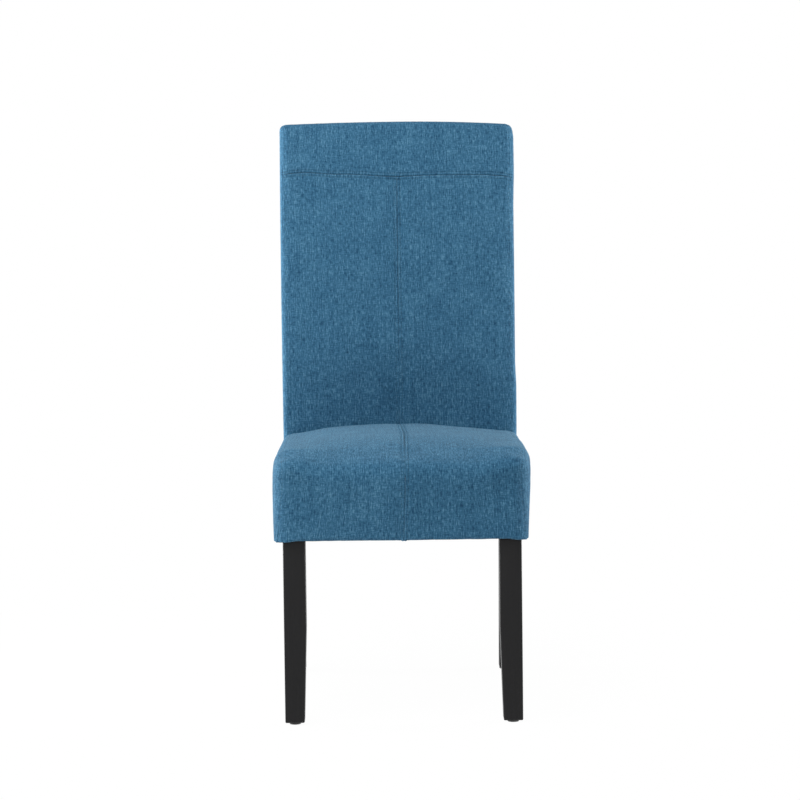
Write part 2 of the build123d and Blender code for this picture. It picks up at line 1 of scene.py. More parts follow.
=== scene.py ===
"""Looks of an upholstered dining chair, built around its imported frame.

Metres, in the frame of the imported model: the front faces -Y, +X is the right side as seen from
the front, and +Z is up. The cover panels are sewn, padded pieces; the legs are black lacquered wood.
"""

from __future__ import annotations

import json
import logging
import math
from collections.abc import Callable, Sequence
from dataclasses import dataclass, field, replace
from enum import Enum

import bmesh
import bpy
from mathutils import Matrix, Vector, noise

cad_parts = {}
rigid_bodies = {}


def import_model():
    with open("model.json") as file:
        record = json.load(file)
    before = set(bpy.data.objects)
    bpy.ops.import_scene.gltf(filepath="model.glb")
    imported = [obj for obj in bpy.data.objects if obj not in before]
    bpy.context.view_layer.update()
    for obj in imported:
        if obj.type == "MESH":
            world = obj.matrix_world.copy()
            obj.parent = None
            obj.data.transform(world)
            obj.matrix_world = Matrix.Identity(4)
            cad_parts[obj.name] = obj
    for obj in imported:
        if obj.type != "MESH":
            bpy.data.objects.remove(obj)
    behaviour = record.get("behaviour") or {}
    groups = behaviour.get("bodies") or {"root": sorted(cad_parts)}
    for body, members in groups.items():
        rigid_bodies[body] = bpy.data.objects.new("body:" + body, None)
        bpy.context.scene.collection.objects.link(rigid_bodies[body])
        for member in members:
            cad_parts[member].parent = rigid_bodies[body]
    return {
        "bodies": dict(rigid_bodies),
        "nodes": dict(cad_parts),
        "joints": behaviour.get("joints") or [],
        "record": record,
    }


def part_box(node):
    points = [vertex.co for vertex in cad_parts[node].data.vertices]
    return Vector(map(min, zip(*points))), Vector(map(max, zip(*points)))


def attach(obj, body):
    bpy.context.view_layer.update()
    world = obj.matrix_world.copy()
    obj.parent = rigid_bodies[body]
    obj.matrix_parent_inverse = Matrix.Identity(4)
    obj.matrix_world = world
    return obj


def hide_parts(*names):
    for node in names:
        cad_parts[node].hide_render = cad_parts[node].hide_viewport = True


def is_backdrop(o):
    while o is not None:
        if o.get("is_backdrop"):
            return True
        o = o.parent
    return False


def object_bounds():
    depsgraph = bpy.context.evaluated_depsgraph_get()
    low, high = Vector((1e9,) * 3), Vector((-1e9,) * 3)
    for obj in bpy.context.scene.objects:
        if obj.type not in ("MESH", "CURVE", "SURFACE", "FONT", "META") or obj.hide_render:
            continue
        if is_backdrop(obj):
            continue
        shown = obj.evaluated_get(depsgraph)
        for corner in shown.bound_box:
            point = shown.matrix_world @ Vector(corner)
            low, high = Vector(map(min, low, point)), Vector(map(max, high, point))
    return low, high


LOG = logging.getLogger("chair")
ROOT = "root"
COVER_SLOT = "cover_fabric"
QUARTER_TURN = math.pi / 2
WHITE = (1.0, 1.0, 1.0)

Colour = tuple[float, float, float]
Place = tuple[float, float, float]
Span = tuple[float, float]
# A noise's depth, detail and roughness
Layer = tuple[float, float, float]
# Points of a panel with their normals
Line = Sequence[tuple[Vector, Vector]]


class Side(Enum):
    """A side of the chair, as seen from the front."""

    LEFT = -1
    RIGHT = 1

    @property
    def word(self) -> str:
        """The side's name in a piece's name."""
        return self.name.lower()


def both(name: str) -> tuple[str, ...]:
    """The names of a left and a right piece."""
    return tuple(f"{name}_{side.word}" for side in Side)


# Small curves


def clamp(value: float) -> float:
    """A value held between 0 and 1."""
    return min(1.0, max(0.0, value))


def smooth(low: float, high: float, value: float) -> float:
    """Ease a value from 0 at one end of a stretch to 1 at the other.

    Args:
        low: The end where the result is 0.
        high: The end where the result is 1.
        value: The value to place on the stretch.

    Returns:
        A number from 0 to 1.
    """
    share = clamp((value - low) / (high - low))
    return share * share * (3.0 - 2.0 * share)


def hump(distance: float, width: float) -> float:
    """The height of a bell curve of height 1 at a distance from its middle."""
    return math.exp(-((distance / width) ** 2))


def between(first: float, last: float, share: float) -> float:
    """The value at a share of the way from one value to another."""
    return first + (last - first) * share


def sag_of(radius: float, offset: float) -> float:
    """How far an arc of a radius falls away at an offset from its crown."""
    return radius - math.sqrt(radius**2 - offset**2)


def ripple(along: float, out: float, pitch: float, seed: float) -> float:
    """Uneven waves that run along a seam.

    Args:
        along: Place along the seam.
        out: Distance from the seam.
        pitch: About the length of a wave.
        seed: A number that sets this seam's waves apart from another's.

    Returns:
        A height from about -1 to 1.
    """
    return noise.noise(Vector((along / pitch, out / (3.0 * pitch), seed)))


def through(points: Sequence[Span], place: float) -> float:
    """A smooth curve through a few points, from left to right.

    Args:
        points: Pairs of a place and a value, in order of place.
        place: Where the value is wanted.

    Returns:
        The eased value between the two points around the place.
    """
    for (low, first), (high, last) in zip(points, points[1:]):
        if place <= high:
            return between(first, last, smooth(low, high, place))
    return points[-1][1]


@dataclass(frozen=True)
class Spacing:
    """How the lines of a panel's grid crowd together at its seams."""

    fine: float = 0.0010
    coarse: float = 0.0050
    reach: float = 0.0060
    growth: float = 0.25

    def lines(
        self, low: float, high: float, seams: Sequence[float], fixed: Sequence[float] = ()
    ) -> list[float]:
        """Places from one end of a panel to the other.

        Args:
            low: The first place.
            high: The last place.
            seams: Places where the lines lie close together.
            fixed: Places that a line has to pass through.

        Returns:
            The places in order.
        """
        places = [low]
        while places[-1] < high:
            gap = min((abs(places[-1] - seam) for seam in seams), default=high - low)
            step = self.fine + self.growth * max(0.0, gap - self.reach)
            places.append(places[-1] + min(self.coarse, step))
        places[-1] = high
        if places[-1] - places[-2] < self.fine / 2:
            places.pop(-2)
        for place in fixed:
            nearest = min(range(1, len(places) - 1), key=lambda i: abs(places[i] - place))
            places[nearest] = place
        return places


# Shader maths


class Wire:
    """A socket in a shader expression, on which the usual operators add Math nodes."""

    def __init__(self, pad: ShaderPad, socket: bpy.types.NodeSocket) -> None:
        """Wrap a node's output socket."""
        self.pad = pad
        self.socket = socket

    def __add__(self, other: Wire | float) -> Wire:
        """Add."""
        return self.pad.maths("ADD", self, other)

    __radd__ = __add__

    def __sub__(self, other: Wire | float) -> Wire:
        """Subtract."""
        return self.pad.maths("SUBTRACT", self, other)

    def __rsub__(self, other: float) -> Wire:
        """Subtract from a number."""
        return self.pad.maths("SUBTRACT", other, self)

    def __mul__(self, other: Wire | float) -> Wire:
        """Multiply."""
        return self.pad.maths("MULTIPLY", self, other)

    __rmul__ = __mul__

    def __truediv__(self, other: Wire | float) -> Wire:
        """Divide."""
        return self.pad.maths("DIVIDE", self, other)

    def __mod__(self, other: Wire | float) -> Wire:
        """Remainder, never negative."""
        return self.pad.maths("FLOORED_MODULO", self, other)

    def floor(self) -> Wire:
        """The whole number below."""
        return self.pad.maths("FLOOR", self)

    def wave(self) -> Wire:
        """The sine."""
        return self.pad.maths("SINE", self)

    def size(self) -> Wire:
        """The value without its sign."""
        return self.pad.maths("ABSOLUTE", self)


Value = Wire | float | Sequence[float]


class ShaderPad:
    """A material or world under construction."""

    def __init__(self, owner: bpy.types.Material | bpy.types.World) -> None:
        """Empty the owner's nodes.

        Args:
            owner: The material or world.
        """
        owner.use_nodes = True
        self.owner = owner
        self.tree = owner.node_tree
        self.tree.nodes.clear()

    def node(
        self,
        kind: str,
        settings: dict[str, object] | None = None,
        inputs: dict[str | int, Value] | None = None,
    ) -> bpy.types.Node:
        """Add a node.

        Args:
            kind: The node's type, without its ShaderNode prefix.
            settings: Its properties, set first. The key "stops" gives a ramp's places and colours.
            inputs: Values or wires for its sockets, by name, identifier or index.

        Returns:
            The new node.
        """
        node = self.tree.nodes.new("ShaderNode" + kind)
        for name, value in (settings or {}).items():
            if name == "stops":
                self._set_stops(node, value)
            else:
                setattr(node, name, value)
        for key, value in (inputs or {}).items():
            socket = self._socket(node.inputs, key)
            if isinstance(value, Wire):
                self.tree.links.new(value.socket, socket)
            elif socket.type == "RGBA" and len(value) == 3:
                socket.default_value = (*value, 1.0)
            else:
                socket.default_value = value
        return node

    @staticmethod
    def _set_stops(node: bpy.types.Node, stops: Sequence[tuple[float, Colour]]) -> None:
        """Set a colour ramp's places and colours.

        Args:
            node: The ramp.
            stops: Its places and colours.
        """
        elements = node.color_ramp.elements
        while len(elements) < len(stops):
            elements.new(1.0)
        for element, (place, colour) in zip(elements, stops):
            element.position = place
            element.color = (*colour, 1.0)

    @staticmethod
    def _socket(sockets: Sequence[bpy.types.NodeSocket], key: str | int) -> bpy.types.NodeSocket:
        """One of a node's sockets, by index, identifier or name.

        Args:
            sockets: The node's inputs or outputs.
            key: What it is found by.

        Returns:
            The socket.
        """
        if isinstance(key, int):
            return sockets[key]
        return next(socket for socket in sockets if key in (socket.identifier, socket.name))

    def out(self, node: bpy.types.Node, key: str | int = 0) -> Wire:
        """A node's output, by index, identifier or name."""
        return Wire(self, self._socket(node.outputs, key))

    def maths(self, operation: str, *values: Wire | float) -> Wire:
        """Add a Math node on one or more values."""
        return self.out(self.node("Math", {"operation": operation}, dict(enumerate(values))))

    def mix(self, share: Value, first: Value, second: Value) -> Wire:
        """Mix two colours.

        Args:
            share: How much of the second colour shows.
            first: A colour.
            second: Another colour.

        Returns:
            The mixed colour.
        """
        inputs = {"Factor_Float": share, "A_Color": first, "B_Color": second}
        return self.out(self.node("Mix", {"data_type": "RGBA"}, inputs), "Result_Color")

    def ramp(self, share: Wire, stops: Sequence[tuple[float, Colour]]) -> Wire:
        """A colour from a ramp of places and colours."""
        return self.out(self.node("ValToRGB", {"stops": stops}, {0: share}))

    def point(self, x: Wire | float, y: Wire | float, z: Wire | float = 0.0) -> Wire:
        """A vector from three values."""
        return self.out(self.node("CombineXYZ", None, {0: x, 1: y, 2: z}))

    def parts(self, vector: Wire) -> tuple[Wire, Wire, Wire]:
        """A vector's three values."""
        node = self.node("SeparateXYZ", None, {0: vector})
        return self.out(node, 0), self.out(node, 1), self.out(node, 2)

    def noise(self, vector: Wire, scale: float, detail: float = 2.0, roughness: float = 0.5) -> Wire:
        """Soft noise from about 0.3 to 0.7.

        Args:
            vector: Where it is read.
            scale: Its features for each unit of length.
            detail: How many finer layers it has.
            roughness: How strong the finer layers are.

        Returns:
            The noise's value.
        """
        inputs = {"Vector": vector, "Scale": scale, "Detail": detail, "Roughness": roughness}
        return self.out(self.node("TexNoise", None, inputs), "Fac")

    def flecks(
        self, x: Wire, y: Wire, depth: Wire | float, detail: float, roughness: float = 0.5
    ) -> Wire:
        """Noise that is stretched by scaling the place where it is read.

        Args:
            x: The place's first value.
            y: Its second value.
            depth: Its third value, or a number that sets this noise apart.
            detail: How many finer layers it has.
            roughness: How strong the finer layers are.

        Returns:
            The noise's value.
        """
        return self.noise(self.point(x, y, depth), 1.0, detail, roughness)

    def seen(self) -> Wire:
        """1 for what the eye sees, also in mirrors and through glass, and 0 for what only lights.

        Returns:
            The share of the ray that is seen.
        """
        path = self.node("LightPath")
        seen = self.maths("MAXIMUM", self.out(path, "Is Camera Ray"), self.out(path, "Is Glossy Ray"))
        return self.maths("MAXIMUM", seen, self.out(path, "Is Transmission Ray"))

    def place(self, kind: str = "Object") -> Wire:
        """A texture coordinate of the piece."""
        return self.out(self.node("TexCoord"), kind)

    def bump(self, height: Wire, distance: float, strength: float) -> Wire:
        """A normal bent by a height."""
        inputs = {"Height": height, "Distance": distance, "Strength": strength}
        return self.out(self.node("Bump", None, inputs))

    def surface(self, **inputs: Value) -> None:
        """End a material in a Principled shader.

        Args:
            inputs: Its sockets' values or wires, with underscores for the spaces in their names.
        """
        named = {name.replace("_", " "): value for name, value in inputs.items()}
        shader = self.node("BsdfPrincipled", None, named)
        self.node("OutputMaterial", None, {"Surface": self.out(shader)})


@dataclass(frozen=True)
class Finish:
    """A surface finish, which makes its material once."""

    name: str

    def material(self) -> bpy.types.Material:
        """The finish's material, made the first time it is asked for.

        Returns:
            The material.
        """
        made = bpy.data.materials.get(self.name)
        if made is None:
            made = bpy.data.materials.new(self.name)
            self.draw(ShaderPad(made))
        return made

    def draw(self, pad: ShaderPad) -> None:
        """Draw the finish's nodes."""
        raise NotImplementedError

    def dress(self, piece: bpy.types.Object) -> None:
        """Give a piece this finish alone."""
        piece.data.materials.clear()
        piece.data.materials.append(self.material())


@dataclass(frozen=True)
class HeatherWeave(Finish):
    """A blue plain weave of uneven, flecked yarns, read from the panel's own weave map in metres."""

    pitch: float = 0.00085
    deep: Colour = (0.0078, 0.0470, 0.1020)
    middle: Colour = (0.0320, 0.1260, 0.2280)
    pale: Colour = (0.1080, 0.2660, 0.3950)
    fuzz: Colour = (0.70, 0.95, 1.00)
    slub_width: float = 0.0017
    slub_length: float = 0.0100
    run_width: float = 0.0026
    run_length: float = 0.1200
    fleck_length: float = 0.0040
    mottle_size: float = 0.045
    yarn_drift: Span = (1.37, 1.61)
    upright_layer: Layer = (10.0, 1.0, 0.6)
    level_layer: Layer = (20.0, 1.0, 0.6)
    warp_layer: Layer = (30.0, 2.0, 0.65)
    weft_layer: Layer = (40.0, 2.0, 0.65)
    run_layer: Layer = (50.0, 1.0, 0.5)
    mottle_layer: Layer = (80.0, 3.0, 0.5)
    upright_share: float = 0.33
    level_share: float = 0.18
    yarn_share: float = 0.28
    mottle_share: float = 0.08
    run_share: float = 0.13
    tone_stops: tuple[float, ...] = (0.39, 0.50, 0.62)
    round_height: float = 0.7
    fleck_height: float = 0.6
    gap_shade: float = 0.25
    # Painted shade: an offset on the tone, below zero for a darker copy of the cover.
    nap: float = 0.0

    def draw(self, pad: ShaderPad) -> None:
        """Weave warp and weft yarns over and under each other, each flecked along its length.

        Args:
            pad: The material's nodes.
        """
        across, along, _depth = pad.parts(pad.place("UV"))
        warp, weft = (across / self.pitch).floor(), (along / self.pitch).floor()
        over = (warp + weft) % 2.0
        upright = pad.flecks(across / self.slub_width, along / self.slub_length, *self.upright_layer)
        level = pad.flecks(across / self.slub_length, along / self.slub_width, *self.level_layer)
        run = pad.flecks(across / self.run_width, along / self.run_length, *self.run_layer)
        warp_fleck = pad.flecks(warp * self.yarn_drift[0], along / self.fleck_length, *self.warp_layer)
        weft_fleck = pad.flecks(across / self.fleck_length, weft * self.yarn_drift[1], *self.weft_layer)
        mottle = pad.flecks(across / self.mottle_size, along / self.mottle_size, *self.mottle_layer)
        yarn = warp_fleck * over + weft_fleck * (1.0 - over)
        tone = upright * self.upright_share + level * self.level_share + yarn * self.yarn_share
        # The painted shade offset darkens the whole tone of a shaded copy.
        tone = tone + mottle * self.mottle_share + run * self.run_share + self.nap
        colour = pad.ramp(tone, list(zip(self.tone_stops, (self.deep, self.middle, self.pale))))
        warp_round = (across * (math.pi / self.pitch)).wave().size()
        weft_round = (along * (math.pi / self.pitch)).wave().size()
        crossing = warp_round * over + weft_round * (1.0 - over)
        height = crossing * self.round_height + yarn * self.fleck_height
        shaded = pad.mix(self.gap_shade - crossing * self.gap_shade, colour, self.deep)
        pad.surface(
            Base_Color=shaded,
            Roughness=0.90 - crossing * 0.06,
            Normal=pad.bump(height, distance=0.00035, strength=0.6),
            Sheen_Weight=0.14,
            Sheen_Roughness=0.5,
            Sheen_Tint=self.fuzz,
            Specular_IOR_Level=0.15,
        )


@dataclass(frozen=True)
class SewingThread(Finish):
    """Twisted blue sewing thread, a little deeper than the cover."""

    colour: Colour = (0.008, 0.050, 0.090)
    light: Colour = (0.018, 0.085, 0.145)
    twist: float = 0.0007

    def draw(self, pad: ShaderPad) -> None:
        """Twist two tones round each other.

        Args:
            pad: The material's nodes.
        """
        x, y, z = pad.parts(pad.place())
        turn = ((x + y + z) * (math.tau / self.twist)).wave() * 0.5 + 0.5
        pad.surface(
            Base_Color=pad.mix(turn, self.colour, self.light),
            Roughness=0.6 + turn * 0.15,
            Normal=pad.bump(turn, distance=0.00008, strength=0.6),
        )


@dataclass(frozen=True)
class BlackLacquer(Finish):
    """Black stain and satin lacquer over upright grain."""

    dark: Colour = (0.0030, 0.0030, 0.0036)
    light: Colour = (0.0110, 0.0106, 0.0112)
    grain_across: float = 260.0
    grain_along: float = 9.0
    cloud_scale: float = 22.0
    cloud_along: float = 0.4
    grain_layer: Span = (4.0, 0.6)
    grain_share: float = 0.7

    def draw(self, pad: ShaderPad) -> None:
        """Let faint upright grain show through the lacquer.

        Args:
            pad: The material's nodes.
        """
        x, y, z = pad.parts(pad.place())
        across, along = self.grain_across, self.grain_along
        grain = pad.flecks(x * across, y * across, z * along, *self.grain_layer)
        cloud = pad.noise(pad.point(x, y, z * self.cloud_along), self.cloud_scale)
        tone = grain * self.grain_share + cloud * (1.0 - self.grain_share)
        pad.surface(
            Base_Color=pad.mix(tone, self.dark, self.light),
            Roughness=0.30 + cloud * 0.14 + grain * 0.08,
            Normal=pad.bump(grain, distance=0.0002, strength=0.35),
            Specular_IOR_Level=0.19,
            Coat_Weight=0.06,
            Coat_Roughness=0.20,
        )


@dataclass(frozen=True)
class BareWood(Finish):
    """Planed hardwood, or board when its grain is short, as on the hidden frame."""

    dark: Colour = (0.300, 0.180, 0.090)
    light: Colour = (0.560, 0.390, 0.230)
    grain_across: float = 120.0
    grain_along: float = 9.0
    grain_layer: Span = (5.0, 0.6)
    ring_turns: tuple[float, ...] = (90.0, 60.0, 5.0)
    grain_share: float = 0.75
    tone_stops: tuple[float, ...] = (0.30, 0.70)

    def draw(self, pad: ShaderPad) -> None:
        """Stretch the grain sideways.

        Args:
            pad: The material's nodes.
        """
        x, y, z = pad.parts(pad.place())
        across, along = self.grain_across, self.grain_along
        grain = pad.flecks(x * along, y * across, z * across, *self.grain_layer)
        back, up, wander = self.ring_turns
        rings = (y * back + z * up + grain * wander).wave() * 0.5 + 0.5
        tone = grain * self.grain_share + rings * (1.0 - self.grain_share)
        pad.surface(
            Base_Color=pad.ramp(tone, list(zip(self.tone_stops, (self.dark, self.light)))),
            Roughness=0.55 + grain * 0.2,
            Normal=pad.bump(tone, distance=0.0003, strength=0.3),
        )


@dataclass(frozen=True)
class ZincSteel(Finish):
    """Zinc-plated steel with faint drawn lines."""

    dull: Colour = (0.42, 0.43, 0.45)
    bright: Colour = (0.66, 0.66, 0.66)
    cloud_scale: float = 180.0
    line_across: float = 300.0
    line_up: float = 2500.0

    def draw(self, pad: ShaderPad) -> None:
        """Cloud the plating and draw fine lines on it.

        Args:
            pad: The material's nodes.
        """
        place = pad.place()
        cloud = pad.noise(place, self.cloud_scale, detail=3.0)
        x, y, z = pad.parts(place)
        lines = pad.flecks(x * self.line_across, y * self.line_across, z * self.line_up, detail=2.0)
        pad.surface(
            Base_Color=pad.mix(cloud, self.dull, self.bright),
            Metallic=1.0,
            Roughness=0.25 + lines * 0.25,
            Normal=pad.bump(lines, distance=0.00005, strength=0.3),
        )


@dataclass(frozen=True)
class MouldedNylon(Finish):
    """Black moulded nylon, scuffed by the floor."""

    clean: Colour = (0.020, 0.020, 0.021)
    scuffed: Colour = (0.060, 0.060, 0.060)
    scuff_scale: float = 420.0

    def draw(self, pad: ShaderPad) -> None:
        """Speckle the moulding and scuff it.

        Args:
            pad: The material's nodes.
        """
        scuff = pad.noise(pad.place(), self.scuff_scale, detail=4.0, roughness=0.6)
        pad.surface(
            Base_Color=pad.mix(scuff, self.clean, self.scuffed),
            Roughness=0.45 + scuff * 0.25,
            Normal=pad.bump(scuff, distance=0.0001, strength=0.4),
        )


@dataclass(frozen=True)
class FibreCloth(Finish):
    """Felted or woven fibres, as in dust cloth and webbing."""

    dark: Colour = (0.008, 0.008, 0.009)
    light: Colour = (0.030, 0.030, 0.032)
    scale: float = 900.0
    rib: float = 0.0025
    fibre_share: float = 0.75

    def draw(self, pad: ShaderPad) -> None:
        """Mix tangled fibres with a faint pressed grid.

        Args:
            pad: The material's nodes.
        """
        place = pad.place()
        fibre = pad.noise(place, self.scale, detail=4.0, roughness=0.7)
        x, y, z = pad.parts(place)
        turns = math.tau / self.rib
        grid = (x * turns).wave() * ((y + z) * turns).wave() * 0.5 + 0.5
        tone = fibre * self.fibre_share + grid * (1.0 - self.fibre_share)
        pad.surface(
            Base_Color=pad.mix(tone, self.dark, self.light),
            Roughness=0.95,
            Normal=pad.bump(tone, distance=0.0004, strength=0.5),
        )


@dataclass(frozen=True)
class StudioWhite(Finish):
    """White paper that shows as white and still takes the object's shadow."""

    glow_share: float = 0.98
    near: float = 0.45
    far: float = 1.30
    paper: Colour = (0.80, 0.80, 0.80)

    def draw(self, pad: ShaderPad) -> None:
        """Mix plain paper with white for what the eye and mirrors see, and white alone far off.

        Args:
            pad: The material's nodes.
        """
        x, y, _z = pad.parts(pad.place())
        reach = pad.maths("SQRT", x * x + y * y)
        away = pad.node("MapRange", None, {"Value": reach, "From Min": self.near, "From Max": self.far})
        share = self.glow_share + (1.0 - self.glow_share) * pad.out(away)
        paper = pad.node("BsdfDiffuse", None, {"Color": self.paper})
        glow = pad.node("Emission", None, {"Color": WHITE, "Strength": 1.0})
        inputs = {0: pad.seen() * share, 1: pad.out(paper), 2: pad.out(glow)}
        self_lit = pad.node("MixShader", None, inputs)
        pad.node("OutputMaterial", None, {"Surface": pad.out(self_lit)})


COVER = HeatherWeave("heather_cover")
# A copy of the cover darkened all over by painted shade, for the right seat top panel.
COVER_PAINTED_SHADE = HeatherWeave("heather_cover_against_nap", nap=-0.009)
THREAD = SewingThread("sewing_thread")
LACQUER = BlackLacquer("black_lacquer")
HARDWOOD = BareWood("bare_hardwood")
HARDBOARD = BareWood("hardboard", (0.20, 0.125, 0.07), (0.36, 0.25, 0.15), 240.0, 180.0)
STEEL = ZincSteel("zinc_steel")
NYLON = MouldedNylon("moulded_nylon")
DUST_CLOTH = FibreCloth("dust_cloth_felt")
STRAP = FibreCloth("elastic_webbing", (0.012, 0.012, 0.012), (0.055, 0.052, 0.050), 500.0, 0.0020)
PAPER = StudioWhite("studio_white")


# Pieces


def new_piece(bm: bmesh.types.BMesh, name: str) -> bpy.types.Object:
    """Turn a finished bmesh into a smooth-shaded object of the scene.

    Args:
        bm: The mesh, which is freed.
        name: The object's name.

    Returns:
        The object.
    """
    for face in bm.faces:
        face.smooth = True
    mesh = bpy.data.meshes.new(name)
    bm.to_mesh(mesh)
    bm.free()
    piece = bpy.data.objects.new(name, mesh)
    bpy.context.scene.collection.objects.link(piece)
    return piece


def thicken(piece: bpy.types.Object, thickness: float) -> None:
    """Give a sheet its thickness, inwards.

    Args:
        piece: The sheet.
        thickness: Its thickness.
    """
    wall = piece.modifiers.new("cloth_thickness", "SOLIDIFY")
    wall.thickness = thickness
    wall.offset = -1.0


def mount(piece: bpy.types.Object, finish: Finish, slot: str, *nodes: str) -> None:
    """Dress a piece and set it on the chair.

    Args:
        piece: The piece.
        finish: Its finish.
        slot: The record's material slot that it belongs to; not used.
        nodes: The frame's nodes that it stands for, if any.
    """
    finish.dress(piece)
    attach(piece, ROOT)
    if nodes:
        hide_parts(*nodes)


# Sewing


class Seam(Enum):
    """The seams, each with a number that sets its puckers apart."""

    CROSS = 1.0
    YOKE_EDGE = 2.0
    TOP_FRONT = 3.0
    BACK_CENTRE = 4.0
    FRONT_EDGE = 7.0
    SIDE_FRONT = 9.0
    SIDE_REAR = 12.0
    SIDE_TOP = 15.0
    OUTSIDE_EDGE = 20.0
    TOP_REAR = 22.0
    TOP_END = 25.0
    SEAT_CENTRE = 30.0
    SEAT_EDGE = 33.0
    SEAT_SIDE = 36.0


@dataclass(frozen=True)
class SeamProfile:
    """How a sewn seam pulls a padded panel down, seen from one of its two panels."""

    crease_depth: float = 0.0006
    crease_width: float = 0.0012
    ridge_height: float = 0.0005
    ridge_offset: float = 0.0026
    ridge_width: float = 0.0015
    row_offset: float = 0.0054
    row_depth: float = 0.0009
    row_width: float = 0.0012
    valley_depth: float = 0.0006
    valley_width: float = 0.0100
    pucker_height: float = 0.00035
    pucker_pitch: float = 0.0085
    pucker_reach: float = 0.0140

    def height(self, out: float, along: float, seam: Seam, shift: float = 0.0) -> float:
        """How far the panel stands off its smooth form.

        Args:
            out: Distance from the seam.
            along: Place along the seam.
            seam: Which seam it is.
            shift: A number that sets the puckers of a left and a right seam apart.

        Returns:
            The height, below zero where the seam pulls it in.
        """
        crease = self.crease_depth * hump(out, self.crease_width)
        row = self.row_depth * hump(out - self.row_offset, self.row_width)
        ridge = self.ridge_height * hump(out - self.ridge_offset, self.ridge_width)
        valley = self.valley_depth * math.exp(-out / self.valley_width)
        fade = math.exp(-out / self.pucker_reach) * smooth(0.0, self.row_offset, out)
        pucker = self.pucker_height * fade * ripple(along, out, self.pucker_pitch, seam.value + shift)
        return pucker + ridge - crease - row - valley


EDGE_SEAM = SeamProfile(crease_depth=0.0003, ridge_height=0.0, valley_depth=0.0, row_depth=0.0004)


@dataclass(frozen=True)
class StitchRow:
    """A row of straight stitches along a line on a panel."""

    length: float = 0.0044
    pitch: float = 0.0062
    radius: float = 0.00045
    sink: float = 0.00010
    rings: int = 4
    sides: int = 6

    def sew(self, bm: bmesh.types.BMesh, line: Line) -> int:
        """Lay stitches along a line.

        Args:
            bm: The mesh that takes them.
            line: Points of the line with the panel's normals.

        Returns:
            How many stitches were laid.
        """
        count = 0
        travelled, wanted = 0.0, self.pitch / 2
        for (start, normal), (end, _after) in zip(line, line[1:]):
            step = (end - start).length
            while step > 0.0 and wanted <= travelled + step:
                share = (wanted - travelled) / step
                self._stitch(bm, start.lerp(end, share), (end - start).normalized(), normal)
                wanted += self.pitch
                count += 1
            travelled += step
        return count

    def _stitch(self, bm: bmesh.types.BMesh, place: Vector, along: Vector, normal: Vector) -> None:
        """Lay one stitch, a slim bead that follows the row.

        Args:
            bm: The mesh that takes it.
            place: Its middle.
            along: The row's direction.
            normal: The panel's normal.
        """
        across = normal.cross(along).normalized()
        up = along.cross(across).normalized()
        turn = Matrix((across, up, along)).transposed().to_4x4()
        stretch = Matrix.Diagonal((self.radius, self.radius, self.length / 2, 1.0))
        spot = Matrix.Translation(place - up * self.sink)
        bmesh.ops.create_uvsphere(
            bm, u_segments=self.sides, v_segments=self.rings, radius=1.0, matrix=spot @ turn @ stretch
        )


@dataclass(frozen=True)
class Stuffing:
    """Padding that presses a sewn panel outwards while its seams hold."""

    pressure: float = 3.0
    slack: float = 0.002
    frames: int = 16
    cap: float = 0.0016
    pull: float = 0.0008
    rim: float = 0.040
    quality: int = 5

    def swell(self, piece: bpy.types.Object, depths: Sequence[float]) -> None:
        """Pull a panel in, press it out again by a cloth simulation, and keep the result in its mesh.

        Args:
            piece: The panel.
            depths: How far each of its vertices lies from the panel's edges, which the seams hold.
        """
        normals = [normal.vector.copy() for normal in piece.data.vertex_normals]
        for vert, normal, depth in zip(piece.data.vertices, normals, depths):
            vert.co -= normal * self.pull * smooth(0.0, self.rim, depth)
        piece.data.update()
        group = piece.vertex_groups.new(name="sewn")
        group.add([index for index, depth in enumerate(depths) if depth <= 0.0], 1.0, "REPLACE")
        cloth = piece.modifiers.new("stuffing", "CLOTH")
        settings = cloth.settings
        settings.vertex_group_mass = group.name
        settings.use_pressure = True
        settings.uniform_pressure_force = self.pressure
        settings.shrink_min = -self.slack
        settings.effector_weights.gravity = 0.0
        settings.quality = self.quality
        cloth.collision_settings.use_collision = False
        scene = bpy.context.scene
        for frame in range(1, self.frames + 1):
            scene.frame_set(frame)
        pressed = piece.evaluated_get(bpy.context.evaluated_depsgraph_get()).data
        places = [vert.co.copy() for vert in pressed.vertices]
        piece.modifiers.remove(cloth)
        piece.vertex_groups.remove(group)
        moves = [place - vert.co for vert, place in zip(piece.data.vertices, places)]
        for vert, move in zip(piece.data.vertices, moves):
            vert.co += move * (self.cap / (self.cap + move.length))
        piece.data.update()
        scene.frame_set(1)
        largest = max(move.length for move in moves)
        usual = sum(move.length for move in moves) / len(moves)
        LOG.info("%s pressed out by %.4f m, at most %.4f m", piece.name, usual, largest)


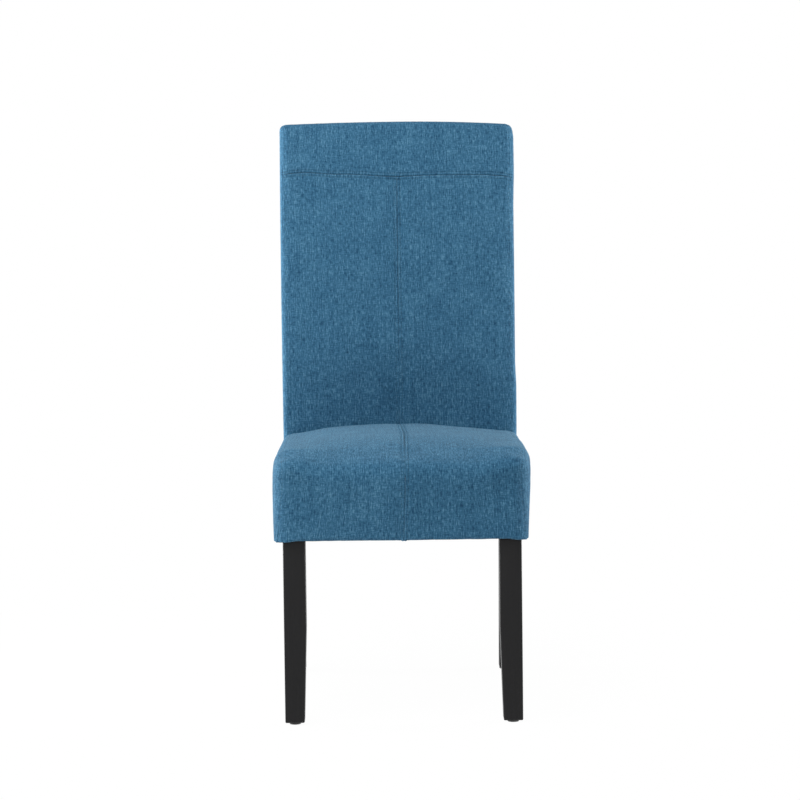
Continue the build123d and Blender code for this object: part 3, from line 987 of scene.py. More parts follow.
@dataclass
class Panel:
    """One cover panel, laid out on a grid across and along it, and cut from a place of the cloth."""

    name: str
    across: list[float]
    along: list[float]
    surface: Callable[[float, float], Vector]
    relief: Callable[[float, float], float]
    outward: Vector
    cut: Span
    thickness: float = 0.0018
    places: list[Span] = field(default_factory=list, init=False)
    grid: dict[tuple[int, int], int] = field(default_factory=dict, init=False)
    piece: bpy.types.Object | None = field(default=None, init=False)

    def build(self) -> None:
        """Lay the grid on the panel's smooth surface."""
        bm = bmesh.new()
        columns, rows = len(self.across) - 1, len(self.along) - 1
        bmesh.ops.create_grid(bm, x_segments=columns, y_segments=rows, size=0.5)
        weave = bm.loops.layers.uv.new("weave")
        bm.verts.index_update()
        for vert in bm.verts:
            column, row = round((vert.co.x + 0.5) * columns), round((vert.co.y + 0.5) * rows)
            self.grid[column, row] = vert.index
            self.places.append((self.across[column], self.along[row]))
        for vert in bm.verts:
            vert.co = self.surface(*self.places[vert.index])
        for face in bm.faces:
            for loop in face.loops:
                across, along = self.places[loop.vert.index]
                loop[weave].uv = (across + self.cut[0], along + self.cut[1])
        bm.normal_update()
        facing = sum(face.normal.dot(self.outward) * face.calc_area() for face in bm.faces)
        if facing < 0.0:
            bmesh.ops.reverse_faces(bm, faces=bm.faces)
        self.piece = new_piece(bm, self.name)

    def depths(self) -> list[float]:
        """How far each vertex lies from the panel's nearest edge."""
        left, right, low, high = self.across[0], self.across[-1], self.along[0], self.along[-1]
        return [min(x - left, right - x, y - low, high - y) for x, y in self.places]

    def emboss(self) -> None:
        """Move the panel's points by its relief, along their normals."""
        mesh = self.piece.data
        normals = [normal.vector.copy() for normal in mesh.vertex_normals]
        for vert, normal, place in zip(mesh.vertices, normals, self.places):
            vert.co += normal * self.relief(*place)
        mesh.update()

    def line_along(self, place: float) -> Line:
        """The panel's points and normals along the grid line nearest to a place across it."""
        column = min(range(len(self.across)), key=lambda i: abs(self.across[i] - place))
        return [self._spot(column, row) for row in range(len(self.along))]

    def line_across(self, place: float) -> Line:
        """The panel's points and normals across the grid line nearest to a place along it."""
        row = min(range(len(self.along)), key=lambda i: abs(self.along[i] - place))
        return [self._spot(column, row) for column in range(len(self.across))]

    def _spot(self, column: int, row: int) -> tuple[Vector, Vector]:
        """A grid point and its normal."""
        index, mesh = self.grid[column, row], self.piece.data
        return mesh.vertices[index].co.copy(), mesh.vertex_normals[index].vector.copy()

    def finish(self, *nodes: str, fill: float = 0.7, cover: HeatherWeave = COVER) -> None:
        """Give the panel its thickness, finish and place on the chair.

        Args:
            nodes: The frame's nodes that it stands for.
            fill: How tight its padding is; not used.
            cover: The fabric, or its copy darkened by painted shade.
        """
        thicken(self.piece, self.thickness)
        mount(self.piece, cover, COVER_SLOT, *nodes)
        LOG.info("panel %s: %d points", self.name, len(self.piece.data.vertices))


def stuff_and_sew(loose: Sequence[Panel], tight: Sequence[Panel]) -> None:
    """Build a cover's panels and pull their seams in.

    Args:
        loose: Panels that their padding presses out first.
        tight: Panels that are stretched over the frame.
    """
    stuffing = Stuffing()
    for panel in (*loose, *tight):
        panel.build()
        if panel in loose:
            stuffing.swell(panel.piece, panel.depths())
        panel.emboss()


def sewn_piece(name: str, rows: Sequence[Line], stitch: StitchRow) -> None:
    """Make a piece of stitches along some rows.

    Args:
        name: The piece's name.
        rows: Lines of points with their normals.
        stitch: The stitches' size.
    """
    bm = bmesh.new()
    count = sum(stitch.sew(bm, row) for row in rows)
    mount(new_piece(bm, name), THREAD, COVER_SLOT)
    LOG.info("%s: %d stitches", name, count)


@dataclass(frozen=True)
class ArchSection:
    """Half of a section with an arched crown, a rounded corner and an upright side."""

    half: float
    rise: float
    arch_radius: float
    corner_radius: float

    @property
    def corner_x(self) -> float:
        """The corner's centre, out from the middle."""
        return self.half - self.corner_radius

    @property
    def corner_height(self) -> float:
        """The corner's centre, up from the base."""
        reach = self.arch_radius - self.corner_radius
        return self.rise - self.arch_radius + math.sqrt(reach**2 - self.corner_x**2)

    @property
    def arc_angle(self) -> float:
        """The slope where the crown meets the corner."""
        return math.asin(self.corner_x / (self.arch_radius - self.corner_radius))

    def corner(self, angle: float) -> tuple[float, float]:
        """The point of the corner at an angle from upright."""
        radius = self.corner_radius
        return self.corner_x + radius * math.sin(angle), self.corner_height + radius * math.cos(angle)

    def width_to(self, angle: float) -> float:
        """The length over the crown from the middle to an angle on the corner."""
        return self.arch_radius * self.arc_angle + self.corner_radius * (angle - self.arc_angle)

    def across(self, share: float, angle: float) -> tuple[float, float]:
        """A point over the crown.

        Args:
            share: From 0 in the middle to 1 at the seam.
            angle: The seam's angle on the corner.

        Returns:
            The point's distance from the middle and its height.
        """
        length = share * self.width_to(angle)
        arc = self.arch_radius * self.arc_angle
        if length > arc:
            return self.corner(self.arc_angle + (length - arc) / self.corner_radius)
        slope = length / self.arch_radius
        return self.arch_radius * math.sin(slope), self.rise - self.arch_radius * (1.0 - math.cos(slope))


@dataclass(frozen=True)
class BackForm:
    """The back cushion's smooth outer form, with the sizes of its solids."""

    half_width: float
    bottom: float
    top: float
    rear: float
    thickness: float = 0.062
    bulge: float = 0.010
    curve_radius: float = 1.750
    bend: float = 0.440
    front_edge: float = 0.014
    rear_edge: float = 0.012
    top_edge: float = 0.010
    crown_radius: float = 6.500
    left_droop: float = 0.1
    low_spread: float = -0.0070
    top_spread: float = 0.0105
    right_waist: float = 0.0020
    waist_low: Span = (0.22, 0.28)
    waist_high: Span = (0.64, 0.55)
    corner_pinch: float = 0.0034
    corner_reach: float = 0.030
    hollow: float = 0.015
    hollow_top: float = 0.310
    hollow_low: float = 0.150
    hem_round: float = 0.003

    @property
    def arch_radius(self) -> float:
        """The radius of the front's sideways arch."""
        return (self.half_width**2 + self.bulge**2) / (2.0 * self.bulge)

    @property
    def top_angle(self) -> float:
        """How far the back leans at its top."""
        reach = self.curve_radius + self.thickness + self.bulge - self.top_edge
        return math.asin((self.top - self.top_edge - self.bend) / reach) + math.asin(self.top_edge / reach)

    @property
    def curve_y(self) -> float:
        """Where the line lies that the back curves about.

        Returns:
            Its depth in space.
        """
        reach = self.curve_radius + self.top_edge
        angle = self.top_angle - math.asin(self.top_edge / reach)
        return self.rear - self.top_edge + reach * math.cos(angle)

    @property
    def middle_radius(self) -> float:
        """The radius on which heights are measured."""
        return self.curve_radius + self.thickness / 2

    @property
    def height(self) -> float:
        """The length of the back from its bottom to its top, along the curve."""
        return self.bend - self.bottom + self.middle_radius * self.top_angle

    def front_y(self, x: float) -> float:
        """Where the front of the back is, low down, at a distance from the middle.

        Args:
            x: Distance from the middle.

        Returns:
            Its depth in space.
        """
        section = self.section(0.0)
        rear = self.curve_y - self.curve_radius
        if abs(x) > section.corner_x:
            return rear - self.thickness
        return rear - section.rise + sag_of(self.arch_radius, x) + self.hollowed(x)

    def hollowed(self, x: float) -> float:
        """How far the padding of the front gives way where it meets the seat."""
        return self.hollow * max(0.0, 1.0 - (x / self.half_width) ** 2)

    def tucked(self, place: float) -> float:
        """How far the cover turns in at the hem, at a height above the bottom."""
        turn = QUARTER_TURN * smooth(self.hem_round, -self.hem_round, place)
        return self.hem_round * (1.0 - math.cos(turn))

    def section(self, inset: float) -> ArchSection:
        """The front half of the section, drawn in by an inset.

        Args:
            inset: How far the section is drawn in.

        Returns:
            The section.
        """
        return ArchSection(
            self.half_width - inset,
            self.thickness + self.bulge - inset,
            self.arch_radius - inset,
            self.front_edge - inset,
        )

    def crown_height(self, x: float) -> float:
        """The height of the top at a distance from the middle, which droops less on the left."""
        return self.height - sag_of(self.crown_radius, x) * (self.left_droop if x < 0.0 else 1.0)

    def climb(self, x: float, place: float) -> tuple[float, float]:
        """Follow the surface up and over the top's rounded edge.

        Args:
            x: Distance from the middle.
            place: Length up the surface from the bottom.

        Returns:
            The height along the curve, and how far the section is drawn in there.
        """
        shoulder = self.crown_height(x) - self.top_edge
        if place <= shoulder:
            return place, 0.0
        turn = (place - shoulder) / self.top_edge
        return shoulder + self.top_edge * math.sin(turn), self.top_edge * (1.0 - math.cos(turn))

    def point(self, x: float, depth: float, height: float) -> Vector:
        """A point of the back in space.

        Args:
            x: Distance from the middle.
            depth: Distance forward of the rear face.
            height: Length up from the bottom, along the curve.

        Returns:
            The point.
        """
        x *= 1.0 + between(self.low_spread, self.top_spread, clamp(height / self.height))
        if x > 0.0:
            waist = smooth(*self.waist_low, height) * smooth(*self.waist_high, height)
            pinch = smooth(self.height - self.corner_reach, self.height, height)
            out = smooth(0.5 * self.half_width, self.half_width, x)
            x -= out * (self.right_waist * waist + self.corner_pinch * pinch)
        padded = smooth(0.5 * self.thickness, self.thickness, depth)
        depth -= self.hollowed(x) * padded * smooth(self.hollow_top, self.hollow_low, height)
        radius = self.curve_radius + depth
        straight = self.bend - self.bottom
        if height <= straight:
            return Vector((x, self.curve_y - radius, self.bottom + height))
        angle = (height - straight) / self.middle_radius
        return Vector((x, self.curve_y - radius * math.cos(angle), self.bend + radius * math.sin(angle)))


@dataclass(frozen=True)
class BackCover:
    """The back's cover: yoke, two front panels, two side panels, top panel and outside back."""

    form: BackForm
    tuck: float
    yoke_depth: float = 0.1075
    front_seam_angle: float = math.radians(40.0)
    rear_seam_angle: float = math.radians(35.0)
    top_seam_angle: float = math.radians(30.0)
    end_turn: float = 0.07
    end_lap: float = 0.0004
    seam: SeamProfile = SeamProfile()
    centre_seam: SeamProfile = SeamProfile(crease_depth=0.0008)
    centre_lap: float = 0.00025
    edge_seam: SeamProfile = EDGE_SEAM
    plain_seam: SeamProfile = replace(EDGE_SEAM, row_depth=0.0)
    edge_stitch: StitchRow = StitchRow(length=0.0038, pitch=0.0082)
    cross_rise: tuple[Span, ...] = (
        (-0.2200, 0.0085),
        (-0.1750, 0.0112),
        (-0.1100, 0.0062),
        (0.0, 0.0),
        (0.0600, 0.0017),
        (0.1200, 0.0026),
        (0.1650, 0.0026),
        (0.1850, 0.0015),
        (0.2200, -0.0020),
    )
    spacing: Spacing = Spacing()
    along_spacing: Spacing = Spacing(fine=0.0012, coarse=0.0035)
    low_pull: float = 0.35
    low_pull_end: float = 0.38
    full_pull_start: float = 0.58
    rear_spacing: Spacing = Spacing(fine=0.0014, coarse=0.0050)
    loose_height: float = 0.0006
    loose_waves: Span = (9.0, 7.0)
    loose_seed: float = 5.0

    @property
    def half_front(self) -> float:
        """The length over the front from the middle to the side seam."""
        return self.form.section(0.0).width_to(self.front_seam_angle)

    @property
    def cross_height(self) -> float:
        """The height of the cross seam in the middle."""
        return self.form.height - self.yoke_depth

    @property
    def top_reach(self) -> float:
        """The length of a panel on the top's rounded edge."""
        return self.form.top_edge * self.top_seam_angle

    def cross_seam(self, across: float) -> float:
        """The height of the cross seam, which sags to the centre seam and droops at one end."""
        return self.cross_height + through(self.cross_rise, across)

    def front_outline(self, across: float, inset: float = 0.0) -> tuple[float, float]:
        """A point of the section's front.

        Args:
            across: Length from the middle, below zero on the left.
            inset: How far the section is drawn in.

        Returns:
            Distance from the middle, below zero on the left, and distance forward of the rear face.
        """
        share = abs(across) / self.half_front
        x, depth = self.form.section(inset).across(share, self.front_seam_angle)
        return math.copysign(x, across), depth

    def front_point(self, across: float, place: float) -> Vector:
        """A point of the front by its lengths across and up the surface."""
        height, inset = self.form.climb(self.front_outline(across)[0], place)
        return self.form.point(*self.front_outline(across, inset), height)

    def yoke(self) -> Panel:
        """The panel above the cross seam.

        Returns:
            The panel.
        """
        top = self.form.height - self.form.top_edge + self.top_reach
        length = top - self.cross_height
        end = self.half_front
        row = end - self.edge_seam.row_offset

        def stretch(across: float, place: float) -> float:
            """The length up the surface at a place of the panel.

            Args:
                across: Length across the panel.
                place: Length up the panel.

            Returns:
                The length.
            """
            crown = self.form.crown_height(self.front_outline(across)[0])
            upper = crown - self.form.top_edge + self.top_reach
            return between(self.cross_seam(across), upper, place / length)

        def relief(across: float, place: float) -> float:
            """The pull of the cross, side and top seams.

            Args:
                across: Length across the panel.
                place: Length up the panel.

            Returns:
                The height off the smooth form.
            """
            return (
                self.seam.height(place, across, Seam.CROSS)
                + self.edge_seam.height(end - abs(across), place, Seam.YOKE_EDGE, math.copysign(0.5, across))
                + self.plain_seam.height(length - place, across, Seam.TOP_FRONT)
            )

        return Panel(
            "back_yoke_panel",
            self.spacing.lines(-end, end, (-end, end), (-row, row)),
            self.spacing.lines(0.0, length, (0.0, length), (self.seam.row_offset,)),
            lambda across, place: self.front_point(across, stretch(across, place)),
            relief,
            Vector((0.0, -1.0, 0.0)),
            cut=(0.9, 3.1),
        )

    def front(self, side: Side) -> Panel:
        """A panel below the cross seam.

        Args:
            side: Its side of the centre seam.

        Returns:
            The panel.
        """
        low = self.tuck - self.form.bottom
        length = self.cross_height - low
        end = self.half_front
        sign = side.value

        def stretch(across: float, place: float) -> float:
            """The length up the surface at a place of the panel."""
            return low + (self.cross_seam(sign * across) - low) * place / length

        def relief(across: float, place: float) -> float:
            """The pull of the centre, side and cross seams, the centre seam's slacker low down.

            Args:
                across: Length across the panel.
                place: Length up the panel.

            Returns:
                The height off the smooth form.
            """
            tight = smooth(self.low_pull_end, self.full_pull_start, place / length)
            pull = between(self.low_pull, 1.0, tight)
            return (
                self.centre_seam.height(across, place, Seam.BACK_CENTRE, sign) * pull
                + self.edge_seam.height(end - across, place, Seam.FRONT_EDGE, sign)
                + self.seam.height(length - place, sign * across, Seam.CROSS)
            )

        return Panel(
            f"back_front_panel_{side.word}",
            self.spacing.lines(
                -self.centre_lap,
                end,
                (-self.centre_lap, end),
                (self.seam.row_offset, end - self.edge_seam.row_offset),
            ),
            self.along_spacing.lines(0.0, length, (length,), (length - self.seam.row_offset,)),
            lambda across, place: self.front_point(sign * across, stretch(across, place)),
            relief,
            Vector((0.0, -1.0, 0.0)),
            cut=(2.0 + 0.7 * sign, 0.3),
        )

    def side_lengths(self, inset: float) -> tuple[float, float, float]:
        """The lengths of a side panel round its front corner, straight side and rear corner.

        Args:
            inset: How far the section is drawn in.

        Returns:
            The three lengths.
        """
        section = self.form.section(inset)
        rear = self.form.rear_edge - inset
        return (
            section.corner_radius * (QUARTER_TURN - self.front_seam_angle),
            section.corner_height - self.form.rear_edge,
            rear * (QUARTER_TURN - self.rear_seam_angle),
        )

    def side_outline(self, share: float, inset: float) -> tuple[float, float]:
        """A point of the section's side.

        Args:
            share: From 0 at the front seam to 1 at the rear seam.
            inset: How far the section is drawn in.

        Returns:
            Distance from the middle, and distance forward of the rear face.
        """
        section = self.form.section(inset)
        front, straight, rear = self.side_lengths(inset)
        length = share * (front + straight + rear)
        if length < front:
            return section.corner(self.front_seam_angle + length / section.corner_radius)
        if length < front + straight:
            return section.half, section.corner_height - (length - front)
        radius = self.form.rear_edge - inset
        angle = (length - front - straight) / radius
        centre = self.form.half_width - self.form.rear_edge
        return centre + radius * math.cos(angle), self.form.rear_edge - radius * math.sin(angle)

    def side(self, side: Side) -> Panel:
        """A side panel, with its hem.

        Args:
            side: Its side of the chair.

        Returns:
            The panel.
        """
        width = sum(self.side_lengths(0.0))
        sign = side.value
        shoulder = self.form.crown_height(sign * self.form.half_width) - self.form.top_edge
        top = shoulder + self.form.top_edge * QUARTER_TURN
        hem = self.form.hem_round

        def surface(across: float, place: float) -> Vector:
            """A point of the panel, which turns in at the hem and over the top.

            Args:
                across: Length across the panel.
                place: Length up the panel.

            Returns:
                The point.
            """
            height, inset = self.form.climb(sign * self.form.half_width, max(place, 0.0))
            x, depth = self.side_outline(across / width, inset)
            return self.form.point(sign * (x - self.form.tucked(place)), depth, height)

        def relief(across: float, place: float) -> float:
            """The pull of the front, rear and top seams.

            Args:
                across: Length across the panel.
                place: Length up the panel.

            Returns:
                The height off the smooth form.
            """
            return (
                self.plain_seam.height(across, place, Seam.SIDE_FRONT, sign)
                + self.plain_seam.height(width - across, place, Seam.SIDE_REAR, sign)
                + self.plain_seam.height(top - place, across, Seam.SIDE_TOP, sign)
            )

        return Panel(
            f"back_side_panel_{side.word}",
            self.spacing.lines(0.0, width, (0.0, width)),
            self.along_spacing.lines(-hem, top, (-hem, top)),
            surface,
            relief,
            Vector((sign, 0.0, 0.0)),
            cut=(4.0 + 0.6 * sign, 1.2),
        )

    def rear_outline(self, share: float, inset: float) -> tuple[float, float]:
        """A point of the section's rear.

        Args:
            share: From 0 in the middle to 1 at the seam.
            inset: How far the section is drawn in.

        Returns:
            Distance from the middle, and distance forward of the rear face.
        """
        radius = self.form.rear_edge - inset
        centre = self.form.half_width - self.form.rear_edge
        length = share * (centre + radius * self.rear_seam_angle)
        if length < centre:
            return length, inset
        angle = (length - centre) / radius
        return centre + radius * math.sin(angle), self.form.rear_edge - radius * math.cos(angle)

    def outside(self) -> Panel:
        """The outside back panel.

        Returns:
            The panel.
        """
        form = self.form
        end = form.half_width - form.rear_edge + form.rear_edge * self.rear_seam_angle
        length = form.height - form.top_edge + self.top_reach
        hem = form.hem_round
        waves, rows = self.loose_waves

        def surface(across: float, place: float) -> Vector:
            """A point of the panel, which turns in at the hem and over the top.

            Args:
                across: Length across the panel.
                place: Length up the panel.

            Returns:
                The point.
            """
            share = abs(across) / end
            x, _depth = self.rear_outline(share, 0.0)
            fall = (form.height - form.crown_height(math.copysign(x, across))) * max(place, 0.0) / length
            height, inset = form.climb(math.copysign(x, across), max(place, 0.0) - fall)
            x, depth = self.rear_outline(share, inset)
            return form.point(math.copysign(x, across), depth + form.tucked(place), height)

        def relief(across: float, place: float) -> float:
            """The pull of the side and top seams, and the loose middle of the panel.

            Args:
                across: Length across the panel.
                place: Length up the panel.

            Returns:
                The height off the smooth form.
            """
            return (
                self.edge_seam.height(end - abs(across), place, Seam.OUTSIDE_EDGE, math.copysign(0.5, across))
                + self.plain_seam.height(length - place, across, Seam.TOP_REAR)
                + self.loose_height * noise.noise(Vector((across * waves, place * rows, self.loose_seed)))
            )

        row = end - self.edge_seam.row_offset
        return Panel(
            "outside_back_panel",
            self.spacing.lines(-end, end, (-end, end), (-row, row)),
            self.rear_spacing.lines(-hem, length, (-hem, length)),
            surface,
            relief,
            Vector((0.0, 1.0, 0.0)),
            cut=(6.0, 0.2),
        )

    def top(self) -> Panel:
        """The panel over the top edge.

        Returns:
            The panel.
        """
        form = self.form
        end = self.half_front
        turn = form.top_edge * (QUARTER_TURN - self.top_seam_angle)
        flat = form.thickness + form.bulge - 2.0 * form.top_edge
        width = flat + 2.0 * turn

        def surface(across: float, place: float) -> Vector:
            """A point of the panel, from its front seam to its rear seam.

            Args:
                across: Length across the panel.
                place: Length up the panel.

            Returns:
                The point.
            """
            shoulder = form.crown_height(self.front_outline(across)[0]) - form.top_edge
            front_turn = min(turn, place) / form.top_edge + self.top_seam_angle
            rear_turn = min(turn, width - place) / form.top_edge + self.top_seam_angle
            angle = min(front_turn, rear_turn)
            inset = form.top_edge * (1.0 - math.cos(angle))
            height = shoulder + form.top_edge * math.sin(angle)
            front = self.front_outline(abs(across), inset)
            rear = self.rear_outline(abs(across) / end, inset)
            depth_share = clamp((place - turn) / flat)
            x = between(front[0], rear[0], depth_share)
            end_x = between(self.front_outline(end, inset)[0], self.rear_outline(1.0, inset)[0], depth_share)
            level = smooth(0.0, self.end_turn, depth_share) * smooth(1.0, 1.0 - self.end_turn, depth_share)
            x *= between(1.0, (form.half_width - form.top_edge + self.end_lap) / end_x, level)
            return form.point(math.copysign(x, across), between(front[1], rear[1], depth_share), height)

        def relief(across: float, place: float) -> float:
            """The pull of the front, rear and end seams.

            Args:
                across: Length across the panel.
                place: Length up the panel.

            Returns:
                The height off the smooth form.
            """
            return (
                self.plain_seam.height(place, across, Seam.TOP_FRONT)
                + self.plain_seam.height(width - place, across, Seam.TOP_REAR)
                + self.plain_seam.height(end - abs(across), place, Seam.TOP_END)
            )

        return Panel(
            "back_top_panel",
            self.along_spacing.lines(-end, end, (-end, end)),
            self.spacing.lines(0.0, width, (0.0, width)),
            surface,
            relief,
            Vector((0.0, 0.0, 1.0)),
            cut=(7.0, 4.0),
        )

    def make(self) -> None:
        """Build, stuff, sew and dress the back's cover."""
        yoke, outside, top = self.yoke(), self.outside(), self.top()
        fronts = {side: self.front(side) for side in Side}
        sides = {side: self.side(side) for side in Side}
        stuff_and_sew((yoke, *fronts.values()), (outside, top, *sides.values()))
        row = self.half_front - self.edge_seam.row_offset
        cross_rows = [yoke.line_across(self.seam.row_offset)]
        cross_rows += [panel.line_across(panel.along[-1] - self.seam.row_offset) for panel in fronts.values()]
        centre_rows = [panel.line_along(self.seam.row_offset) for panel in fronts.values()]
        stitch = StitchRow()
        sewn_piece("back_cross_stitching", cross_rows, stitch)
        sewn_piece("back_centre_stitching", centre_rows, stitch)
        for side, panel in fronts.items():
            rows = [panel.line_along(row), yoke.line_along(side.value * row)]
            sewn_piece(f"back_edge_stitching_{side.word}", rows, self.edge_stitch)
        rear_row = outside.across[-1] - self.edge_seam.row_offset
        rear_rows = [outside.line_along(side.value * rear_row) for side in Side]
        sewn_piece("outside_back_stitching", rear_rows, stitch)
        yoke.finish("back_yoke_panel")
        top.finish("back_top_panel")
        outside.finish("outside_back_panel", fill=0.3)
        for side in Side:
            word = side.word
            sides[side].finish(f"back_side_panel_{word}")
            extra = ("back_foam", "back_wadding") if side is Side.LEFT else ()
            fronts[side].finish(f"back_front_panel_{word}", *extra)


@dataclass(frozen=True)
class SeatSide:
    """How the padding settles on one side of the seat."""

    shoulder: float
    fullness: Span
    rear_sink: float
    sink_reach: Span


@dataclass(frozen=True)
class SeatForm:
    """The seat cushion's smooth outer form, with the sizes of its solids."""

    half_width: float
    front: float
    bottom: float
    top: float
    back: BackForm
    crown_radius: float = 1.440
    edge_radius: float = 0.032
    roll_radius: float = 0.076
    roll_slope: float = math.radians(17.5)
    upper_bend: float = 0.7
    lower_bend: float = 0.34
    front_dip: float = 0.0100
    dip_length: float = 0.110
    dip_middle: Span = (0.190, 0.110)
    front_radius: float = 5.000
    corner_radius: float = 0.020
    front_draw_in: float = 0.008
    side_draw_in: float = 0.0040
    hem_round: float = 0.003
    hem_width: float = 0.010
    rear_gap: float = 0.0006
    rear_round: float = 0.010
    rear_tuck: float = 0.009
    rear_half_width: float = 0.2074
    left: SeatSide = SeatSide(0.0017, (0.0004, 0.0036), 0.0032, (0.14, 0.19))
    right: SeatSide = SeatSide(0.0044, (0.0012, 0.0004), 0.0034, (0.03, 0.11))
    shoulder_reach: float = 0.022
    shoulder_out: float = 0.8
    shoulder_up: float = 0.6
    rear_shoulder_share: float = 0.5
    rear_shoulder_fade: Span = (0.08, -0.08)
    rear_sink: float = 0.0014
    rear_sink_fade: Span = (-0.12, 0.12)
    droop_height: float = 0.03
    corner_droop: float = 0.0022
    corner_reach: Span = (0.175, 0.200)
    seam_droop: float = 0.0014
    seam_place: float = 0.003
    seam_width: float = 0.007

    @property
    def axis_y(self) -> float:
        """The depth of the line that the front edge rolls about."""
        return self.front + self.roll_radius

    @property
    def axis_z(self) -> float:
        """The height of the line that the front edge rolls about."""
        return self.top - self.roll_radius

    @property
    def drop(self) -> float:
        """The height of the front below its roll."""
        return self.axis_z - self.bottom

    def dipped(self, x: float, behind: float) -> float:
        """How far the top gives way towards the roll, at a distance behind the roll's line."""
        share = max(0.0, 1.0 - behind / self.dip_length)
        return self.front_dip * share**2 * smooth(*self.dip_middle, abs(x))

    def rolled(self, x: float, reach: float, angle: float) -> Vector:
        """A point of the front roll, which tight cloth presses into a slope between two bends.

        Args:
            x: Distance from the middle.
            reach: Distance from the roll's line.
            angle: Turn from straight up towards the front.

        Returns:
            The point.
        """
        dip = self.dipped(x, 0.0)
        tilt = math.atan(2.0 * dip / self.dip_length)
        upper, lower, steep = self.upper_bend, self.lower_bend, self.roll_slope
        sine, cosine = math.sin(steep), math.cos(steep)
        crown = 1.0 - dip / reach
        slope = (1.0 - upper * (sine - math.sin(tilt)) - lower * (1.0 - sine)) / cosine
        upright = crown - upper * (math.cos(tilt) - cosine) - slope * sine - lower * cosine
        stretches = (
            (upper * (steep - tilt), tilt, upper),
            (slope, steep, 0.0),
            (lower * (QUARTER_TURN - steep), steep, lower),
            (upright, QUARTER_TURN, 0.0),
        )
        left = angle / QUARTER_TURN * sum(length for length, _start, _radius in stretches)
        forward, up = 0.0, crown
        for length, start, radius in stretches:
            part = min(left, length)
            left -= part
            turn = part / (2.0 * radius) if radius else 0.0
            chord = 2.0 * radius * math.sin(turn) if radius else part
            forward += chord * math.cos(start + turn)
            up -= chord * math.sin(start + turn)
        return Vector((x, self.axis_y - reach * forward, self.axis_z + reach * up))

    def section(self, fall: float) -> ArchSection:
        """The section across the seat.

        Args:
            fall: From 0 on the top and the roll to 1 at the bottom of the front.

        Returns:
            The section, measured out from the roll's line.
        """
        curve = between(1.0 / self.crown_radius, 1.0 / self.front_radius, fall)
        return ArchSection(
            self.half_width - self.side_draw_in * fall,
            self.roll_radius - self.front_draw_in * fall,
            1.0 / curve,
            between(self.edge_radius, self.corner_radius, fall),
        )

    def settle(self, point: Vector) -> Vector:
        """Let the padding sit as it does on a real seat, fuller in places and drooping at the hem's corners.

        Args:
            point: A point of the smooth form.

        Returns:
            The settled point.
        """
        out = abs(point.x)
        sign = math.copysign(1.0, point.x)
        side = self.right if sign > 0.0 else self.left
        section = self.section(0.0)
        middle_x, middle_rise = section.corner(QUARTER_TURN / 2)
        edge_z = self.axis_z + middle_rise
        near = hump(out - middle_x, self.shoulder_reach) * hump(point.z - edge_z, self.shoulder_reach)
        near *= between(self.rear_shoulder_share, 1.0, smooth(*self.rear_shoulder_fade, point.y))
        push = near * side.shoulder
        sink = side.rear_sink * smooth(*side.sink_reach, out) + self.rear_sink
        sink *= smooth(*self.rear_sink_fade, point.y) * smooth(self.axis_z, self.top, point.z)
        sink *= smooth(self.half_width, section.corner_x, out)
        full = between(*side.fullness, smooth(edge_z, self.bottom, point.z))
        full *= smooth(section.corner_x, self.half_width, out)
        droop = self.corner_droop * smooth(*self.corner_reach, out)
        droop += self.seam_droop * hump(point.x - self.seam_place, self.seam_width)
        droop *= smooth(self.bottom + self.droop_height, self.bottom, point.z)
        x = point.x + sign * (push * self.shoulder_out + full)
        return Vector((x, point.y, point.z + push * self.shoulder_up - droop - sink))


